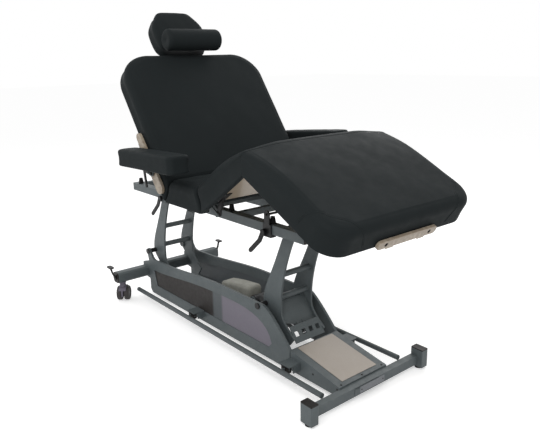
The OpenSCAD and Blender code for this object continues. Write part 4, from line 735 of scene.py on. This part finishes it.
def flatPiece(outlines, thick, bevel):
    # closed outlines in a plane, the later ones holes, extruded by thick with rounded edges: points and faces
    curve = bpy.data.curves.new("flat", "CURVE")
    curve.dimensions = "2D"
    curve.fill_mode = "BOTH"
    curve.extrude = thick / 2 - bevel
    curve.bevel_depth = bevel
    curve.bevel_resolution = 3
    curve.offset = -bevel
    for line in outlines:
        spline = curve.splines.new("POLY")
        spline.points.add(len(line) - 1)
        for point, (a, b) in zip(spline.points, line):
            point.co = (a, b, 0, 1)
        spline.use_cyclic_u = True
    o = bpy.data.objects.new("flat", curve)
    scene.collection.objects.link(o)
    bpy.context.view_layer.update()
    mesh = bpy.data.meshes.new_from_object(o.evaluated_get(bpy.context.evaluated_depsgraph_get()))
    welded = bmesh.new()
    welded.from_mesh(mesh)
    bmesh.ops.remove_doubles(welded, verts=welded.verts, dist=1e-6)
    welded.to_mesh(mesh)
    welded.free()
    points = np.array([tuple(v.co) for v in mesh.vertices])
    faces = [tuple(f.vertices) for f in mesh.polygons]
    bpy.data.objects.remove(o)
    bpy.data.curves.remove(curve)
    bpy.data.meshes.remove(mesh)
    return points, faces


def circleLine(a, b, r, n=32):
    # n points on a circle about (a, b)
    t = np.arange(n) * 2 * math.pi / n
    return np.stack([a + r * np.cos(t), b + r * np.sin(t)], 1)


def roundedLine(a0, a1, b0, b1, r):
    # a rectangle whose corners are quarter circles of radius r, eight points each
    t = np.radians(np.linspace(0, 90, 8))
    corners = ((a1 - r, b1 - r, 0), (a0 + r, b1 - r, 90), (a0 + r, b0 + r, 180), (a1 - r, b0 + r, 270))
    return np.vstack([np.stack([cx + r * np.cos(t + math.radians(start)),
                                cy + r * np.sin(t + math.radians(start))], 1) for cx, cy, start in corners])


def joinedMesh(name, parts, slotName):
    # one flat-shaded mesh of several pairs of points and faces
    faces, start = [], 0
    for p, f in parts:
        faces += [tuple(i + start for i in face) for face in f]
        start += len(p)
    return makeMesh(name, np.vstack([p for p, f in parts]), faces, slotName, smooth=False)


barSpec = {
    "start": 0.503,
    "thick": 0.013,
    "half": 0.159,
    "low": -0.058,
    "high": -0.024,
    "corner": 0.0155,
    "hole": 0.0075,
    "pitch": 0.234,
    "battenFrom": 0.393,
    "battenTo": 0.5135,
    "battenHalfPitch": 0.085,
    "battenHalf": 0.020,
    "battenMid": -0.0621,
    "battenThick": 0.0078,
}


def outletBar(spec):
    # maple bar with two lined holes, and the two battens it is screwed to
    middle, hole = (spec["low"] + spec["high"]) / 2, spec["hole"]
    edge = roundedLine(-spec["half"], spec["half"], spec["low"], spec["high"], spec["corner"])
    holes = [circleLine(s * spec["pitch"] / 2, middle, hole) for s in (-1, 1)]
    p, f = flatPiece([edge] + holes, spec["thick"], 0.002)
    across = spec["start"] + spec["thick"] / 2 + p[:, 2]
    parts = [(placed(inLeg, np.stack([across, p[:, 0], p[:, 1]], 1)), f)]
    for s in (-1, 1):
        y = s * spec["battenHalfPitch"]
        edge = roundedLine(spec["battenFrom"], spec["battenTo"], y - spec["battenHalf"],
                           y + spec["battenHalf"], 0.003)
        q, g = flatPiece([edge], spec["battenThick"], 0.001)
        parts.append((placed(inLeg, q + (0, 0, spec["battenMid"])), g))
    o = joinedMesh("outlet_bar_maple", parts, "slat_wood")
    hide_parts("outlet_bar")
    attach(o, "leg")
    # each cup is a thin lip round a hole: (share of the hole's radius, height)
    cup = [(0.99, 0.0), (0.99, 0.0115), (0.8, 0.0121), (0.72, 0.011), (0.7, 0.002), (0.1, 0.002)]
    for k, s in (("near", -1), ("far", 1)):
        at = placed(inLeg, [(spec["start"] + 0.001, s * spec["pitch"] / 2, middle)])[0]
        profile = [(hole * share, h) for share, h in cup]
        turned(f"outlet_cup_{k}", profile, at, inLeg["u"], "cap_plastic", "leg")


outletBar(barSpec)

plateSpec = {
    "near": -0.083,
    "far": 0.057,
    "low": 0.047,
    "high": 0.073,
    "corner": 0.003,
    "thick": 0.0016,
    "off": 0.0007,
    "screws": {"near": -0.074, "far": 0.048},
    "screwZ": 0.060,
    "screwR": 0.0032,
    "screwH": 0.0012,
}


def crossbarPlate(spec):
    # blank plate screwed to the foot face of the crossbar
    edge = roundedLine(spec["near"], spec["far"], spec["low"], spec["high"], spec["corner"])
    p, f = flatPiece([edge], spec["thick"], 0.0006)
    points = np.stack([footFace + spec["off"] + p[:, 2], p[:, 0], p[:, 1]], 1)
    o = joinedMesh("crossbar_plate", [(points, f)], "frame_paint")
    o.data.materials[0] = materials["bare_plate"]
    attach(o, "base")
    for k, y in spec["screws"].items():
        turned(f"plate_screw_{k}", screwProfile(spec["screwR"], spec["screwH"]),
               (footFace + 0.0015, y, spec["screwZ"]), (1, 0, 0), "black_steel", "base")


crossbarPlate(plateSpec)

motorSpec = {
    "x0": -0.240,
    "x1": -0.005,
    "low": 0.155,
    "rise0": 0.060,
    "rise1": 0.090,
    "half": 0.0415,
    "round": 0.017,
    "swell": 0.004,
}


def motorShell(spec):
    # boxy housing with all its edges rounded: sections across X whose top rises in a line from rise0 to rise1
    # plus swell * sin(pi t), drawn in near both ends by a quarter circle
    x0, x1, low, half, r = (spec[k] for k in ("x0", "x1", "low", "half", "round"))
    a = np.radians((12, 35, 60, 90))
    depth, inset = r * (1 - np.cos(a)), r * (1 - np.sin(a))
    stations = np.concatenate([x0 + depth, np.linspace(x0 + 0.03, x1 - 0.03, 12), x1 - depth[::-1]])
    insets = np.concatenate([inset, np.zeros(12), inset[::-1]])
    rings = []
    for x, i in zip(stations, insets):
        t = (x - x0) / (x1 - x0)
        rise = spec["rise0"] + (spec["rise1"] - spec["rise0"]) * t
        high = low + rise + spec["swell"] * math.sin(math.pi * t)
        line = roundedLine(-half + i, half - i, low + i, high - i, r * 0.9)
        rings.append(np.column_stack([np.full(len(line), x), line]))
    ends = [(x0, 0, low + spec["rise0"] / 2), (x1, 0, low + spec["rise1"] / 2)]
    faces = ringFaces(len(rings), len(rings[0]))
    return makeMesh("motor_shell", np.vstack(rings + [ends]), faces, "motor_shell")


motor = motorShell(motorSpec)
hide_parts("motor_housing")
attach(motor, "actuator")
print("small parts")


def addFloor(spec):
    # a flat square that reaches beyond the picture
    half = spec["half"]
    mesh = bpy.data.meshes.new("floor")
    corners = [(-half, -half, 0), (half, -half, 0), (half, half, 0), (-half, half, 0)]
    mesh.from_pydata(corners, [], [(0, 1, 2, 3)])
    o = bpy.data.objects.new("floor", mesh)
    scene.collection.objects.link(o)
    mesh.materials.append(floorMaterial(spec))


lampSpecs = {
    "key": {"place": (2.0, -2.3, 3.2), "aim": (0, 0, 0.6), "size": 2.4, "power": 58},
    "fill": {"place": (-2.6, -2.2, 2.4), "aim": (0, 0, 0.6), "size": 3.0, "power": 30},
    "rim": {"place": (-1.2, 2.8, 3.0), "aim": (0, 0, 0.7), "size": 2.6, "power": 44},
}


def addLamp(name, spec):
    # a square area lamp turned to its aim
    data = bpy.data.lights.new(name, "AREA")
    data.energy = spec["power"]
    data.size = spec["size"]
    o = bpy.data.objects.new(name, data)
    o.location = spec["place"]
    o.rotation_euler = (Vector(spec["aim"]) - Vector(spec["place"])).to_track_quat("-Z", "Y").to_euler()
    scene.collection.objects.link(o)


worldSpec = {"light": 0.62, "seen": 1.0}


def addWorld(spec):
    # white all round: as bright as light for what it lights, and as seen for the camera and in reflections
    world = bpy.data.worlds.new("studio")
    scene.world = world
    world.use_nodes = True
    tree = world.node_tree
    tree.nodes.clear()
    path = tree.nodes.new("ShaderNodeLightPath")
    seen = tree.nodes.new("ShaderNodeMath")
    seen.operation = "MAXIMUM"
    tree.links.new(path.outputs["Is Camera Ray"], seen.inputs[0])
    tree.links.new(path.outputs["Is Glossy Ray"], seen.inputs[1])
    strength = tree.nodes.new("ShaderNodeMapRange")
    strength.inputs["To Min"].default_value = spec["light"]
    strength.inputs["To Max"].default_value = spec["seen"]
    tree.links.new(seen.outputs[0], strength.inputs["Value"])
    back = tree.nodes.new("ShaderNodeBackground")
    back.inputs["Color"].default_value = (1, 1, 1, 1)
    tree.links.new(strength.outputs[0], back.inputs["Strength"])
    out = tree.nodes.new("ShaderNodeOutputWorld")
    tree.links.new(back.outputs[0], out.inputs[0])


addFloor(floorSpec)
for name, spec in lampSpecs.items():
    addLamp(name, spec)
addWorld(worldSpec)
scene.view_settings.view_transform = "Standard"
print("stage")
